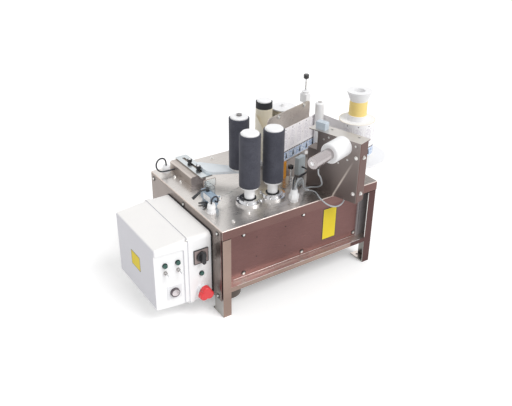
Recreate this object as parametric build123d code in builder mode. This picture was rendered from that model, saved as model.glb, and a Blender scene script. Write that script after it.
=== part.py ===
from build123d import *
from math import acos, atan2, cos, degrees, pi, radians, sin
import os

os.makedirs("parts", exist_ok=True)

# Benchtop bottle labelling machine, millimetres, +Z up.
# The origin is the middle of the four foot holes at floor level.
# The operator stands at -Y, and the control box hangs on the -X end.

# Frame and sheet metal
frame_length = 580.0
frame_depth = 450.0
deck_height = 304.0
deck_sheet = 2.0
skirt_height = 30.0
deck_bend = 3.0
leg_flange = 28.0
leg_side_flange = 50.0
leg_wall = 3.0
foot_thick = 5.0
foot_length = 60.0
foot_hole_radius = 4.5
foot_hole_inset = 42.0
rail_bottom = 84.0
rail_height = 16.0
rail_ledge = 29.0
end_ledge = 12.0
rail_wall = 3.0
panel_recess = 27.0
panel_sheet = 2.0
end_panel_bottom = 60.0
screw_radius = 4.0
screw_height = 2.5
front_screw_rise = 17.0
panel_screw_inset = 9.0
front_screw_left = 88.0
front_screw_middle = 16.0
front_screw_right = 61.0
front_screw_drop = 52.0
end_screw_inset = 25.0
end_screw_drop = 17.0
cut_margin = 1.0
loose_gap = 0.3
run_gap = 0.05

# The three rollers that turn the bottle
left_roller_x = -129.2
left_roller_y = -116.8
right_roller_x = -50.1
right_roller_y = -123.8
sleeve_radius = 32.0
sleeve_bore = 22.0
sleeve_bottom_rise = 55.0
sleeve_top_rise = 220.0
cap_radius = 27.5
cap_height = 6.0
neck_radius = 15.5
neck_rise = 15.0
collar_height = 6.0
shaft_radius = 8.0
shaft_drop = 89.0
flange_radius = 41.0
flange_thick = 7.0
hub_radius = 31.0
hub_rise = 13.0
hub_recess_radius = 21.5
boss_radius = 14.0
flange_bolt_radius = 3.0
flange_bolts = 4

# Gearmotor and toothed belts under the deck
motor_end_inset = 62.0
motor_front_inset = 83.0
motor_radius = 44.0
motor_bottom_drop = 280.0
motor_top_drop = 128.0
gearbox_radius = 40.0
gearbox_drop = 90.0
motor_chamfer = 4.0
pillar_radius = 4.0
pillar_inset = 8.0
feed_motor_size = 70.0
feed_motor_height = 58.0
pulley_radius = 20.0
pulley_width = 14.0
pulley_flange = 3.0
pulley_flange_thick = 1.5
pulley_teeth = 20
tooth_depth = 1.2
tooth_width = 2.6
upper_belt_drop = 56.0
lower_belt_drop = 80.0
belt_thick = 2.0
belt_width = 10.0

# Control box on the left end
box_gap = 3.0
box_front_inset = 57.2
box_rear_inset = 117.8
box_bottom_drop = 253.3
box_top_drop = 27.6
box_seam_reach = 73.0
box_end_reach = 182.4
box_corner = 14.0
box_wall = 3.0
box_draft = 9.3
box_edge = 6.0
gasket_proud = 1.5
seam_height = 7.0
seam_proud = 2.5
notch_size = 20.0
notch_depth = 8.0
control_recess = 4.0
recess_margin = 12.0
rim_height = 30.0
lamp_bezel_radius = 8.0
lamp_bezel_height = 2.5
lamp_radius = 6.5
lamp_height = 5.0
toggle_nut_radius = 6.0
toggle_nut_height = 7.0
toggle_ball = 3.2
toggle_tip = 2.4
toggle_length = 15.0
toggle_lean = 14.0
lamp_row_drop = 68.4
toggle_row_drop = 92.4
lamp_left_reach = 77.0
lamp_right_reach = 38.0
switch_column_inset = 34.0
base_lamp_drop = 128.4
estop_drop = 186.4
socket_reach = 52.0
socket_drop = 166.4
selector_plate_size = 48.0
selector_plate_thick = 3.0
selector_radius = 15.0
selector_height = 6.0
grip_width = 12.0
grip_length = 38.0
grip_height = 12.0
estop_collar_radius = 18.0
estop_collar_height = 14.0
estop_travel = 5.0
estop_radius = 24.5
estop_height = 16.0
estop_stem = 9.0
estop_lobes = 3
estop_rim = 5.0
lobe_share = 0.62
socket_flange_size = 44.0
socket_flange_thick = 2.5
socket_ring_radius = 14.0
socket_ring_height = 7.0
socket_bore_radius = 10.5
socket_floor = 1.5

# Pressure roller and its slide
slide_inset = 101.0
slide_front_inset = 192.0
slide_rear_inset = 19.0
slide_width = 42.0
slide_thick = 4.0
slot_front_inset = 159.0
slot_rear_inset = 36.0
slot_width = 9.0
housing_left_inset = 58.0
housing_right_inset = 110.0
housing_front_inset = 168.0
housing_rear_inset = 26.0
housing_height = 32.0
housing_chamfer = 4.0
housing_sheet = 3.0
knob_front_inset = 137.0
knob_rear_inset = 81.0
knob_radius = 8.0
knob_height = 12.0
knob_collar = 6.0
knob_shank = 3.5
knob_flutes = 6
flute_radius = 1.6
arm_front_inset = 175.0
arm_rear_inset = 107.0
arm_thick = 8.0
arm_end_radius = 19.0
pressure_x = -85.5
pressure_y = 10.5
pin_radius = 6.0
pin_nut_radius = 9.0
pin_nut_height = 5.0
pressure_bottom_rise = 53.0
pressure_top_rise = 217.0

# Bottle switch with its feeler
switch_left_inset = 43.0
switch_right_inset = 65.0
switch_front = -96.0
switch_back = -28.0
switch_lift = 8.0
switch_height = 28.0
switch_edge = 2.5
switch_foot_margin = 6.0
guard_thick = 2.0
guard_rise = 22.0
feeler_hub_radius = 6.0
feeler_hub_height = 8.0
feeler_radius = 1.5
feeler_tip_x = -126.0
feeler_tip_y = -62.0
feeler_y = -88.0
feeler_rise = 24.0
feeler_pin_radius = 2.5
lever_hub_radius = 7.0
lever_hub_height = 10.0
lever_length = 40.0
lever_radius = 3.5
lever_y = -52.0

# Label head: s runs along the web from the peel edge, t behind it
head_angle = 17.0
head_x = -44.0
head_y = -83.0
web_bottom_rise = 66.0
web_top_rise = 177.0
web_thick = 0.4
web_gap = 0.4
peel_length = 213.0
peel_thick = 2.5
peel_bottom_rise = 62.0
peel_top_rise = 234.0
peel_corner = 12.0
peel_screw_drop = 8.0
post_radius = 8.0
post_left_s = 51.0
post_right_s = 181.0
post_foot_radius = 13.0
post_drop = 18.0
post_foot_height = 8.0
head_disc_s = 75.0
head_disc_t = -30.0
head_disc_radius = 42.0
head_disc_height = 6.0
sensor_s = 158.0
sensor_t = -11.5
sensor_length = 36.0
sensor_depth = 17.0
sensor_height = 60.0
bracket_s = 90.0
bracket_width = 14.0
sensor_edge = 2.0
head_knob_s = 103.0
head_knob_t = -15.0
head_knob_radius = 9.0
head_knob_height = 9.0
head_stud_radius = 5.0
head_stud_height = 34.0
guide_s = 247.0
guide_radius = 14.5
guide_bore = 6.0
guide_bottom_rise = 58.0
guide_top_rise = 223.0
guide_foot_radius = 22.0
guide_foot_height = 10.0
traction_s = 139.0
traction_t = 126.0
traction_radius = 27.0
traction_core_radius = 23.5
traction_bottom_rise = 56.0
traction_top_rise = 220.0
traction_flange_radius = 36.0
rewind_flange_radius = 30.0
rewind_s = 222.0
rewind_t = 111.0
rewind_radius = 38.0
rewind_disc_radius = 41.5
rewind_disc_thick = 4.0
rewind_core_radius = 14.0
rewind_nut_radius = 7.0
rewind_nut_height = 10.0
adjuster_s = 281.0
adjuster_t = 66.0
adjuster_column_radius = 8.0
adjuster_foot_radius = 20.0
adjuster_foot_height = 8.0
adjuster_block_rise = 194.0
adjuster_block_size = 27.0
adjuster_block_height = 28.0
adjuster_collar_radius = 13.0
adjuster_collar_height = 8.0
adjuster_rod_radius = 3.0
adjuster_rod_length = 42.0
adjuster_knob_radius = 9.0
adjuster_knob_height = 14.0
adjuster_seat = 4.0

# Tower at the front right, a folded sheet that reaches past the deck
tower_s = 102.6
tower_front = -261.0
tower_back = -76.0
tower_width = 42.0
tower_lid_width = 52.0
tower_rise = 196.0
tower_sheet = 2.5
tower_bend = 3.0
tower_neck = -110.0
tower_shelf_rise = 134.0
tower_foot_width = 24.0
tower_nut_radius = 5.0
tower_nut_height = 5.0
tower_nut_inset = 13.0
tower_nut_rise = 30.0
tower_nut_drop = 48.0
motor_tube_radius = 17.5
motor_tube_length = 82.0
drum_radius = 31.0
drum_length = 73.0
drum_edge = 6.0
drum_t = -200.0
drum_rise = 173.0
motor_plug_radius = 5.0
motor_plug_length = 9.0
motor_plug_reach = 50.0
eye_s = 22.0
eye_t_inset = 34.0
eye_length = 35.0
eye_width = 22.0
eye_height = 23.0

# Label roll and its reel
reel_s = 302.0
reel_t = -123.7
reel_disc_radius = 103.0
reel_disc_drop = 12.0
reel_seat_radius = 46.0
reel_disc_thick = 6.0
reel_pin_radius = 8.0
reel_post_radius = 14.0
reel_hub_radius = 24.0
reel_bar_width = 56.0
reel_bar_thick = 6.0
reel_bar_start = 165.0
reel_bar_end = 311.0
roll_radius = 57.5
collar_radius = 32.0
collar_rise = 193.0
drum_sleeve_radius = 28.5
drum_sleeve_rise = 239.0
cone_bottom_radius = 28.0
cone_radius = 40.5
cone_rise = 271.0
cone_hole_radius = 18.0
cone_depth = 20.0

# Glands and cables
gland_nut_radius = 12.5
gland_body_radius = 10.5
gland_cap_radius = 13.0
gland_taper = 10.0
loop_gland_inset = 39.2
loop_gland_rear = 35.3
loop_gland_height = 24.0
switch_gland_inset = 29.1
switch_gland_y = -116.5
switch_gland_height = 30.0
head_gland_x = -16.0
head_gland_front = 37.0
head_gland_height = 42.0
loop_end_inset = 54.0
loop_end_rise = 13.5
loop_cable_radius = 2.5
switch_cable_radius = 2.5
sensor_cable_radius = 2.5
grey_cable_radius = 2.2
cable_pitch = 5.0
bend_share = 0.45
clip_x = 60.0
clip_y = -148.5
clip_length = 14.0
clip_width = 16.0
clip_height = 2.0
tower_socket_rise = 18.0
tower_socket_height = 16.0
tower_socket_depth = 13.0
tower_socket_width = 16.0
loop_route = (
    (-250.8, 189.7, 346.3),
    (-262.5, 188.0, 358.0),
    (-279.1, 185.0, 358.0),
    (-290.8, 181.0, 346.3),
    (-290.8, 177.0, 329.7),
    (-279.1, 174.0, 318.0),
    (-257.0, 171.0, 317.5),
)
switch_route = (
    (-260.9, -116.5, 347.0),
    (-252.0, -116.5, 355.0),
    (-241.0, -114.5, 352.0),
    (-236.0, -112.0, 341.0),
    (-236.0, -110.0, 327.0),
)
sensor_route = (
    (-21.0, -188.0, 362.0),
    (-15.0, -181.0, 374.0),
    (-1.0, -168.0, 376.0),
    (14.0, -154.0, 362.0),
    (24.0, -145.0, 347.0),
    (38.0, -130.0, 333.0),
    (56.0, -112.0, 326.0),
    (76.0, -100.0, 327.0),
    (96.0, -97.0, 329.0),
    (112.0, -88.0, 330.0),
)
sensor_lead = 16.0
motor_route = (
    (-11.0, -188.0, 362.0),
    (2.0, -180.0, 373.0),
    (20.0, -170.0, 362.0),
    (34.0, -161.0, 340.0),
    (46.0, -154.0, 320.0),
    (61.0, -148.0, 309.0),
    (74.0, -150.0, 309.5),
    (83.0, -161.0, 312.0),
    (85.0, -178.0, 320.0),
    (81.0, -195.0, 333.0),
    (70.0, -212.0, 350.0),
    (49.0, -233.0, 374.0),
    (30.0, -252.0, 399.0),
    (10.0, -270.0, 418.0),
)
plug_lead = 17.0
tower_route = (
    (-16.0, -193.0, 360.0),
    (-9.0, -192.0, 373.0),
    (4.0, -188.5, 377.0),
    (17.0, -183.0, 370.0),
    (27.0, -176.0, 350.0),
    (34.0, -169.0, 324.0),
    (48.0, -163.0, 311.0),
    (61.0, -164.5, 307.5),
    (70.0, -174.0, 307.5),
    (70.0, -188.0, 307.5),
    (64.0, -203.0, 308.0),
    (57.0, -218.0, 309.5),
    (57.0, -234.0, 306.0),
    (65.0, -247.0, 296.0),
    (84.0, -255.0, 286.0),
    (104.0, -257.5, 283.5),
    (119.5, -257.2, 290.0),
)
tower_lead = 18.0

# Places that follow from the sizes
deck_under = deck_height - deck_sheet
skirt_bottom = deck_height - skirt_height
half_length = frame_length / 2
half_depth = frame_depth / 2
sleeve_bottom = deck_height + sleeve_bottom_rise
sleeve_top = deck_height + sleeve_top_rise
neck_bottom = deck_height + neck_rise
hub_top = deck_height + hub_rise
pressure_sleeve_bottom = deck_height + pressure_bottom_rise
pressure_sleeve_top = deck_height + pressure_top_rise
feeler_level = deck_height + feeler_rise
web_bottom = deck_height + web_bottom_rise
web_top = deck_height + web_top_rise
peel_bottom = deck_height + peel_bottom_rise
peel_top = deck_height + peel_top_rise
guide_bottom = deck_height + guide_bottom_rise
guide_top = deck_height + guide_top_rise
traction_bottom = deck_height + traction_bottom_rise
traction_top = deck_height + traction_top_rise
adjuster_block_bottom = deck_height + adjuster_block_rise
tower_top = deck_height + tower_rise
drum_level = deck_height + drum_rise
collar_top = deck_height + collar_rise
drum_sleeve_top = deck_height + drum_sleeve_rise
cone_top = deck_height + cone_rise
shaft_bottom = deck_height - shaft_drop
motor_bottom = deck_height - motor_bottom_drop
motor_top = deck_height - motor_top_drop
gearbox_top = deck_height - gearbox_drop
upper_belt_level = deck_height - upper_belt_drop
lower_belt_level = deck_height - lower_belt_drop
box_bottom = deck_height - box_bottom_drop
box_top = deck_height - box_top_drop
lamp_row = box_top - lamp_row_drop
toggle_row = box_top - toggle_row_drop
base_lamp_z = box_top - base_lamp_drop
estop_z = box_top - estop_drop
socket_z = box_top - socket_drop
motor_x = motor_end_inset - half_length
loop_gland_x = loop_gland_inset - half_length
switch_gland_x = switch_gland_inset - half_length
switch_left = switch_left_inset - half_length
switch_right = switch_right_inset - half_length
housing_left = housing_left_inset - half_length
housing_right = housing_right_inset - half_length
slide_x = slide_inset - half_length
box_seam = -half_length - box_seam_reach
box_end = -half_length - box_end_reach
lamp_left_x = box_seam - lamp_left_reach
lamp_right_x = box_seam - lamp_right_reach
socket_x = box_seam - socket_reach
switch_column_x = box_seam + switch_column_inset
box_front = box_front_inset - half_depth
motor_y = motor_front_inset - half_depth
head_gland_y = head_gland_front - half_depth
box_back = half_depth - box_rear_inset
loop_gland_y = half_depth - loop_gland_rear
slide_front = half_depth - slide_front_inset
slide_back = half_depth - slide_rear_inset
slot_front = half_depth - slot_front_inset
slot_back = half_depth - slot_rear_inset
housing_front = half_depth - housing_front_inset
housing_back = half_depth - housing_rear_inset
knob_front_y = half_depth - knob_front_inset
knob_rear_y = half_depth - knob_rear_inset
arm_root_front = half_depth - arm_front_inset
arm_root_back = half_depth - arm_rear_inset
loop_end_y = half_depth - loop_end_inset
leg_x = half_length - deck_sheet
leg_y = half_depth - deck_sheet
rail_top = rail_bottom + rail_height
panel_y = half_depth - panel_recess
end_inner = leg_x - leg_wall
foot_x = leg_x - leg_flange / 2
foot_y = leg_y - foot_hole_inset
head_cos = cos(radians(head_angle))
head_sin = sin(radians(head_angle))
head_plane = Plane(origin=(head_x, head_y, 0), x_dir=(head_cos, head_sin, 0), z_dir=(0, 0, 1))


def head_point(s, t):
    return (head_x + s * head_cos - t * head_sin, head_y + s * head_sin + t * head_cos)


def save(piece, name):
    piece.part.label = name
    export_step(piece.part, f"parts/{name}.step")


def turned(points, x, y):
    # A solid of revolution about the upright line through x, y
    section = Plane(origin=(x, y, 0), x_dir=(1, 0, 0), z_dir=(0, -1, 0))
    with BuildPart() as piece:
        with BuildSketch(section):
            with BuildLine():
                Polyline(*points, close=True)
            make_face()
        revolve(axis=Axis((x, y, 0), (0, 0, 1)))
    return piece


# Four angle legs with drilled feet, and the folded rails that carry the panels
rail_length = 2 * end_inner
rail_face_y = leg_y
with BuildPart() as base_frame:
    for side_x in (-1, 1):
        for side_y in (-1, 1):
            corner_x = side_x * leg_x
            corner_y = side_y * leg_y
            with BuildSketch(Plane.XY.offset(foot_thick)):
                with BuildLine():
                    Polyline(
                        (corner_x, corner_y),
                        (corner_x - side_x * leg_flange, corner_y),
                        (corner_x - side_x * leg_flange, corner_y - side_y * leg_wall),
                        (corner_x - side_x * leg_wall, corner_y - side_y * leg_wall),
                        (corner_x - side_x * leg_wall, corner_y - side_y * leg_side_flange),
                        (corner_x, corner_y - side_y * leg_side_flange),
                        close=True,
                    )
                make_face()
            extrude(amount=deck_under - foot_thick)
            with BuildSketch(Plane.XY):
                with Locations((side_x * foot_x, corner_y - side_y * foot_length / 2)):
                    Rectangle(leg_flange, foot_length)
                with Locations((side_x * foot_x, side_y * foot_y)):
                    Circle(foot_hole_radius, mode=Mode.SUBTRACT)
            extrude(amount=foot_thick)
    for side_y in (-1, 1):
        with BuildSketch(Plane.YZ.offset(-end_inner)):
            with BuildLine():
                Polyline(
                    (side_y * rail_face_y, rail_bottom),
                    (side_y * rail_face_y, rail_top),
                    (side_y * (rail_face_y - rail_ledge), rail_top),
                    (side_y * (rail_face_y - rail_ledge), rail_top - rail_wall),
                    (side_y * (rail_face_y - rail_wall), rail_top - rail_wall),
                    (side_y * (rail_face_y - rail_wall), rail_bottom),
                    close=True,
                )
            make_face()
        extrude(amount=rail_length)
    side_rail_length = 2 * (rail_face_y - rail_ledge)
    for side_x in (-1, 1):
        with BuildSketch(Plane.XZ.offset(-side_rail_length / 2)):
            with BuildLine():
                Polyline(
                    (side_x * leg_x, rail_bottom),
                    (side_x * leg_x, rail_top),
                    (side_x * (leg_x - end_ledge), rail_top),
                    (side_x * (leg_x - end_ledge), rail_top - rail_wall),
                    (side_x * (leg_x - rail_wall), rail_top - rail_wall),
                    (side_x * (leg_x - rail_wall), rail_bottom),
                    close=True,
                )
            make_face()
        extrude(amount=side_rail_length)
save(base_frame, "base_frame")

# Deck: a folded tray turned upside down, bored for the driven shafts
traction_x, traction_y = head_point(traction_s, traction_t)
rewind_x, rewind_y = head_point(rewind_s, rewind_t)
driven_places = (
    (left_roller_x, left_roller_y),
    (right_roller_x, right_roller_y),
    (traction_x, traction_y),
    (rewind_x, rewind_y),
)
with BuildPart() as deck_cover:
    with BuildSketch(Plane.XY.offset(skirt_bottom)):
        Rectangle(frame_length, frame_depth)
    extrude(amount=skirt_height)
    upper_edges = deck_cover.faces().sort_by(Axis.Z)[-1].edges()
    upright_edges = deck_cover.edges().filter_by(Axis.Z)
    fillet(upper_edges + upright_edges, radius=deck_bend)
    with BuildSketch(Plane.XY.offset(skirt_bottom)):
        Rectangle(frame_length - 2 * deck_sheet, frame_depth - 2 * deck_sheet)
    extrude(amount=skirt_height - deck_sheet, mode=Mode.SUBTRACT)
    with BuildSketch(Plane.XY.offset(deck_height)):
        with Locations(*driven_places):
            Circle(boss_radius + loose_gap)
    extrude(amount=-deck_sheet, mode=Mode.SUBTRACT)
save(deck_cover, "deck_cover")

# Front, rear and end panels
panel_length = 2 * (end_inner - loose_gap)
end_panel_depth = 2 * (half_depth - leg_wall * 2)
with BuildPart() as side_panels:
    for side_y in (-1, 1):
        with BuildSketch(Plane.XY.offset(rail_top)):
            with Locations((0, side_y * (panel_y - panel_sheet / 2))):
                Rectangle(panel_length, panel_sheet)
        extrude(amount=deck_under - rail_top)
    for side_x in (-1, 1):
        with BuildSketch(Plane.XY.offset(end_panel_bottom)):
            with Locations((side_x * (half_length + panel_sheet / 2), 0)):
                Rectangle(panel_sheet, end_panel_depth)
        extrude(amount=deck_height - deck_bend - end_panel_bottom)
save(side_panels, "side_panels")

# Box seat, seam and body seen along X
box_inner = -half_length - panel_sheet
box_seat = box_inner - box_gap
box_mid_y = (box_front + box_back) / 2
box_mid_z = (box_bottom + box_top) / 2
box_depth = box_back - box_front
box_height = box_top - box_bottom
base_depth = box_seat - box_seam
lid_depth = box_seam - box_end


def box_plane(x):
    # Outline plane of the box at x; its own x runs back and its normal points out to -X
    return Plane(origin=(x, box_mid_y, box_mid_z), x_dir=(0, -1, 0), z_dir=(-1, 0, 0))


with BuildPart() as control_box_gasket:
    with BuildSketch(box_plane(box_inner)):
        RectangleRounded(box_depth + 2 * gasket_proud, box_height + 2 * gasket_proud, box_corner)
        RectangleRounded(box_depth - 4 * box_wall, box_height - 4 * box_wall, box_corner,
                         mode=Mode.SUBTRACT)
    extrude(amount=box_gap)
save(control_box_gasket, "control_box_gasket")

with BuildPart() as control_box_base:
    with BuildSketch(box_plane(box_seat)):
        RectangleRounded(box_depth, box_height, box_corner)
    extrude(amount=base_depth)
    with BuildSketch(box_plane(box_seam + seam_height)):
        RectangleRounded(box_depth + 2 * seam_proud, box_height + 2 * seam_proud, box_corner)
    extrude(amount=seam_height)
    with BuildSketch(box_plane(box_seat - box_wall)):
        RectangleRounded(box_depth - 2 * box_wall, box_height - 2 * box_wall, box_corner - box_wall)
    extrude(amount=base_depth - box_wall, mode=Mode.SUBTRACT)
save(control_box_base, "control_box_base")

# Lid: a drafted shell with a seam rim, four screw notches and a sunk control face
lid_slope = atan2(box_draft, lid_depth)
lid_taper = degrees(lid_slope)
lid_front = Plane(origin=(box_seam, box_front, 0), x_dir=(cos(lid_slope), -sin(lid_slope), 0),
                  z_dir=(-sin(lid_slope), -cos(lid_slope), 0))
lid_plane = lid_front.offset(-control_recess)


def along_lid(x):
    # Distance along the drafted front wall of the lid, from the seam to x
    return (x - box_seam) / cos(lid_slope)


with BuildPart() as control_box_lid:
    with BuildSketch(box_plane(box_seam)):
        RectangleRounded(box_depth, box_height, box_corner)
    extrude(amount=lid_depth, taper=lid_taper)
    lid_face = control_box_lid.faces().sort_by(Axis.X)[0]
    fillet(lid_face.edges(), radius=box_edge)
    with BuildSketch(box_plane(box_seam)):
        RectangleRounded(box_depth + 2 * seam_proud, box_height + 2 * seam_proud, box_corner)
    extrude(amount=seam_height)
    with BuildSketch(box_plane(box_seam)):
        RectangleRounded(box_depth - 4 * box_wall, box_height - 4 * box_wall, box_corner - box_wall)
    extrude(amount=lid_depth - box_wall, taper=lid_taper, mode=Mode.SUBTRACT)
    with BuildSketch(box_plane(box_seam - seam_height)):
        with GridLocations(box_depth, box_height, 2, 2):
            Rectangle(notch_size, 2 * notch_depth)
    extrude(amount=notch_size, mode=Mode.SUBTRACT)
    recess_length = lid_depth - seam_height - recess_margin + box_edge
    recess_mid = box_seam - seam_height - recess_margin - recess_length / 2
    recess_mid_z = box_top - rim_height - box_height / 2
    with BuildSketch(lid_plane):
        with Locations((along_lid(recess_mid), recess_mid_z)):
            RectangleRounded(recess_length, box_height, box_edge)
    extrude(amount=notch_size, mode=Mode.SUBTRACT)
save(control_box_lid, "control_box_lid")

# Lamps, toggles and socket sit on the sunk lid face, the rest on the box base
base_control_y = box_front


def front_plane(y):
    # Sketch plane on a front wall; x to the right, y up, normal to -Y
    return Plane(origin=(0, y, 0), x_dir=(1, 0, 0), z_dir=(0, -1, 0))


lid_lamp_places = ((along_lid(lamp_left_x), lamp_row), (along_lid(lamp_right_x), lamp_row))
toggle_places = ((along_lid(lamp_left_x), toggle_row), (along_lid(lamp_right_x), toggle_row))
socket_place = (along_lid(socket_x), socket_z)
with BuildPart() as control_bezels:
    with BuildSketch(lid_plane):
        with Locations(*lid_lamp_places):
            Circle(lamp_bezel_radius)
    extrude(amount=lamp_bezel_height)
    with BuildSketch(front_plane(base_control_y)):
        with Locations((switch_column_x, base_lamp_z)):
            Circle(lamp_bezel_radius)
    extrude(amount=lamp_bezel_height)
    with BuildSketch(lid_plane):
        with Locations(*toggle_places):
            RegularPolygon(toggle_nut_radius, 6)
            Circle(toggle_ball + run_gap, mode=Mode.SUBTRACT)
    extrude(amount=toggle_nut_height)
    with BuildSketch(lid_plane):
        with Locations(socket_place):
            RectangleRounded(socket_flange_size, socket_flange_size, socket_flange_thick)
    extrude(amount=socket_flange_thick)
    with BuildSketch(lid_plane.offset(socket_flange_thick)):
        with Locations(socket_place):
            Circle(socket_ring_radius)
    extrude(amount=socket_ring_height)
    with BuildSketch(lid_plane.offset(socket_floor)):
        with Locations(socket_place):
            Circle(socket_bore_radius)
    extrude(amount=socket_ring_height + socket_flange_thick, mode=Mode.SUBTRACT)
    with BuildSketch(front_plane(base_control_y)):
        with Locations((switch_column_x, lamp_row)):
            RectangleRounded(selector_plate_size, selector_plate_size, selector_plate_thick)
    extrude(amount=selector_plate_thick)
    with BuildSketch(front_plane(base_control_y)):
        with Locations((switch_column_x, estop_z)):
            Circle(estop_collar_radius)
            Circle(estop_stem + run_gap, mode=Mode.SUBTRACT)
    extrude(amount=estop_collar_height)
save(control_bezels, "control_bezels")

with BuildPart() as indicator_lamps:
    with BuildSketch(lid_plane.offset(lamp_bezel_height)):
        with Locations(*lid_lamp_places):
            Circle(lamp_radius)
    extrude(amount=lamp_height)
    with BuildSketch(front_plane(base_control_y - lamp_bezel_height)):
        with Locations((switch_column_x, base_lamp_z)):
            Circle(lamp_radius)
    extrude(amount=lamp_height)
    lamp_fronts = indicator_lamps.edges().filter_by(GeomType.CIRCLE).group_by(Axis.Y)
    fillet(lamp_fronts[0], radius=lamp_radius / 3)
save(indicator_lamps, "indicator_lamps")


def toggle_lever(x, name):
    # A ball-ended lever that leans down and to the right at rest
    lean = radians(toggle_lean)
    out = lid_plane.z_dir
    lever_dir = (out * cos(lean) + lid_plane.x_dir * sin(lean) - Vector(0, 0, sin(lean))).normalized()
    pivot = lid_plane.offset(toggle_nut_height / 2).from_local_coords(
        Vector(along_lid(x), toggle_row, 0))
    tip = pivot + lever_dir * (toggle_nut_height / 2 + toggle_length)
    with BuildPart() as lever:
        with BuildSketch(Plane(origin=pivot, z_dir=lever_dir)):
            Circle(toggle_tip / 2)
        with BuildSketch(Plane(origin=tip, z_dir=lever_dir)):
            Circle(toggle_tip)
        loft()
        with Locations(tip):
            Sphere(toggle_tip)
        with Locations(pivot):
            Sphere(toggle_ball)
    save(lever, name)


toggle_lever(lamp_left_x, "toggle_lever_left")
toggle_lever(lamp_right_x, "toggle_lever_right")

# Selector knob with its grip bar
selector_y = base_control_y - selector_plate_thick - loose_gap
with BuildPart() as selector_knob:
    with BuildSketch(front_plane(selector_y)):
        with Locations((switch_column_x, lamp_row)):
            Circle(selector_radius)
    extrude(amount=selector_height)
    fillet(selector_knob.faces().sort_by(Axis.Y)[0].edges(), radius=flute_radius)
    with BuildSketch(front_plane(selector_y - selector_height / 2)):
        with Locations((switch_column_x, lamp_row)):
            SlotOverall(grip_length, grip_width, rotation=90)
    extrude(amount=grip_height + selector_height / 2)
save(selector_knob, "selector_knob")

# Emergency stop: a stem and a three-lobed mushroom head
estop_face = base_control_y - estop_collar_height - estop_travel - loose_gap
lobe_radius = estop_radius * lobe_share
lobe_offset = estop_radius - lobe_radius
with BuildPart() as estop_button:
    with BuildSketch(front_plane(base_control_y - loose_gap - estop_travel)):
        with Locations((switch_column_x, estop_z)):
            Circle(estop_stem)
    extrude(amount=estop_collar_height)
    with BuildSketch(front_plane(estop_face)):
        with Locations((switch_column_x, estop_z)):
            with PolarLocations(lobe_offset, estop_lobes, start_angle=90):
                Circle(lobe_radius)
    extrude(amount=estop_height, taper=lid_taper)
    mushroom_rim = estop_button.faces().sort_by(Axis.Y)[0].edges()
    fillet(mushroom_rim, radius=estop_rim)
save(estop_button, "estop_button")

# Bearing flanges of the driven shafts on the deck
boss_bottom = deck_under - deck_sheet
flange_top = deck_height + flange_thick
with BuildPart() as roller_flanges:
    with BuildSketch(Plane.XY.offset(deck_height)):
        with Locations(*driven_places[:2]):
            Circle(flange_radius)
        with Locations(driven_places[2]):
            Circle(traction_flange_radius)
        with Locations(driven_places[3]):
            Circle(rewind_flange_radius)
    extrude(amount=flange_thick)
    with BuildSketch(Plane.XY.offset(flange_top)):
        with Locations(*driven_places[:2]):
            Circle(hub_radius)
            Circle(hub_recess_radius, mode=Mode.SUBTRACT)
    extrude(amount=hub_top - flange_top)
    with BuildSketch(Plane.XY.offset(flange_top)):
        with Locations(*driven_places[:2]):
            with PolarLocations((flange_radius + hub_radius) / 2, flange_bolts, start_angle=45):
                Circle(flange_bolt_radius)
    extrude(amount=screw_height)
    with BuildSketch(Plane.XY.offset(boss_bottom)):
        with Locations(*driven_places):
            Circle(boss_radius)
    extrude(amount=deck_height - boss_bottom)
    with BuildSketch(Plane.XY.offset(boss_bottom)):
        with Locations(*driven_places):
            Circle(shaft_radius + run_gap)
    extrude(amount=hub_top - boss_bottom, mode=Mode.SUBTRACT)
save(roller_flanges, "roller_flanges")


def pulley_points(low, high, bottom):
    # Lower half of a driven shaft profile with its pulley between two thin rims
    rim = pulley_radius + pulley_flange
    return (
        (0, bottom),
        (shaft_radius, bottom),
        (shaft_radius, low - pulley_flange_thick),
        (rim, low - pulley_flange_thick),
        (rim, low),
        (pulley_radius, low),
        (pulley_radius, high),
        (rim, high),
        (rim, high + pulley_flange_thick),
        (shaft_radius, high + pulley_flange_thick),
    )


def toothed(points, x, y, low, high):
    # Turned piece with the tooth gaps of its pulley cut between two levels
    core = turned(points, x, y)
    with BuildPart() as piece:
        add(core.part)
        with BuildSketch(Plane.XY.offset(low)):
            with Locations((x, y)):
                with PolarLocations(pulley_radius, pulley_teeth):
                    Rectangle(2 * tooth_depth, tooth_width)
        extrude(amount=high - low, mode=Mode.SUBTRACT)
    return piece


lower_belt_low = lower_belt_level - pulley_width / 2
lower_belt_high = lower_belt_level + pulley_width / 2
upper_belt_low = upper_belt_level - pulley_width / 2
upper_belt_high = upper_belt_level + pulley_width / 2


def driven_core(x, y, name):
    # Shaft, pulley, nylon neck, tube and top cap in one turned piece
    points = pulley_points(lower_belt_low, upper_belt_high, shaft_bottom) + (
        (shaft_radius, neck_bottom),
        (neck_radius, neck_bottom),
        (neck_radius, sleeve_bottom - collar_height),
        (cap_radius, sleeve_bottom - collar_height),
        (cap_radius, sleeve_bottom),
        (sleeve_bore, sleeve_bottom),
        (sleeve_bore, sleeve_top),
        (cap_radius, sleeve_top),
        (cap_radius, sleeve_top + cap_height / 2),
        (cap_radius - cap_height / 2, sleeve_top + cap_height),
        (0, sleeve_top + cap_height),
    )
    save(toothed(points, x, y, lower_belt_low, upper_belt_high), name)


def foam_sleeve(x, y, bottom, top, name):
    with BuildPart() as sleeve:
        with BuildSketch(Plane.XY.offset(bottom)):
            with Locations((x, y)):
                Circle(sleeve_radius)
                Circle(sleeve_bore, mode=Mode.SUBTRACT)
        extrude(amount=top - bottom)
    save(sleeve, name)


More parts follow.
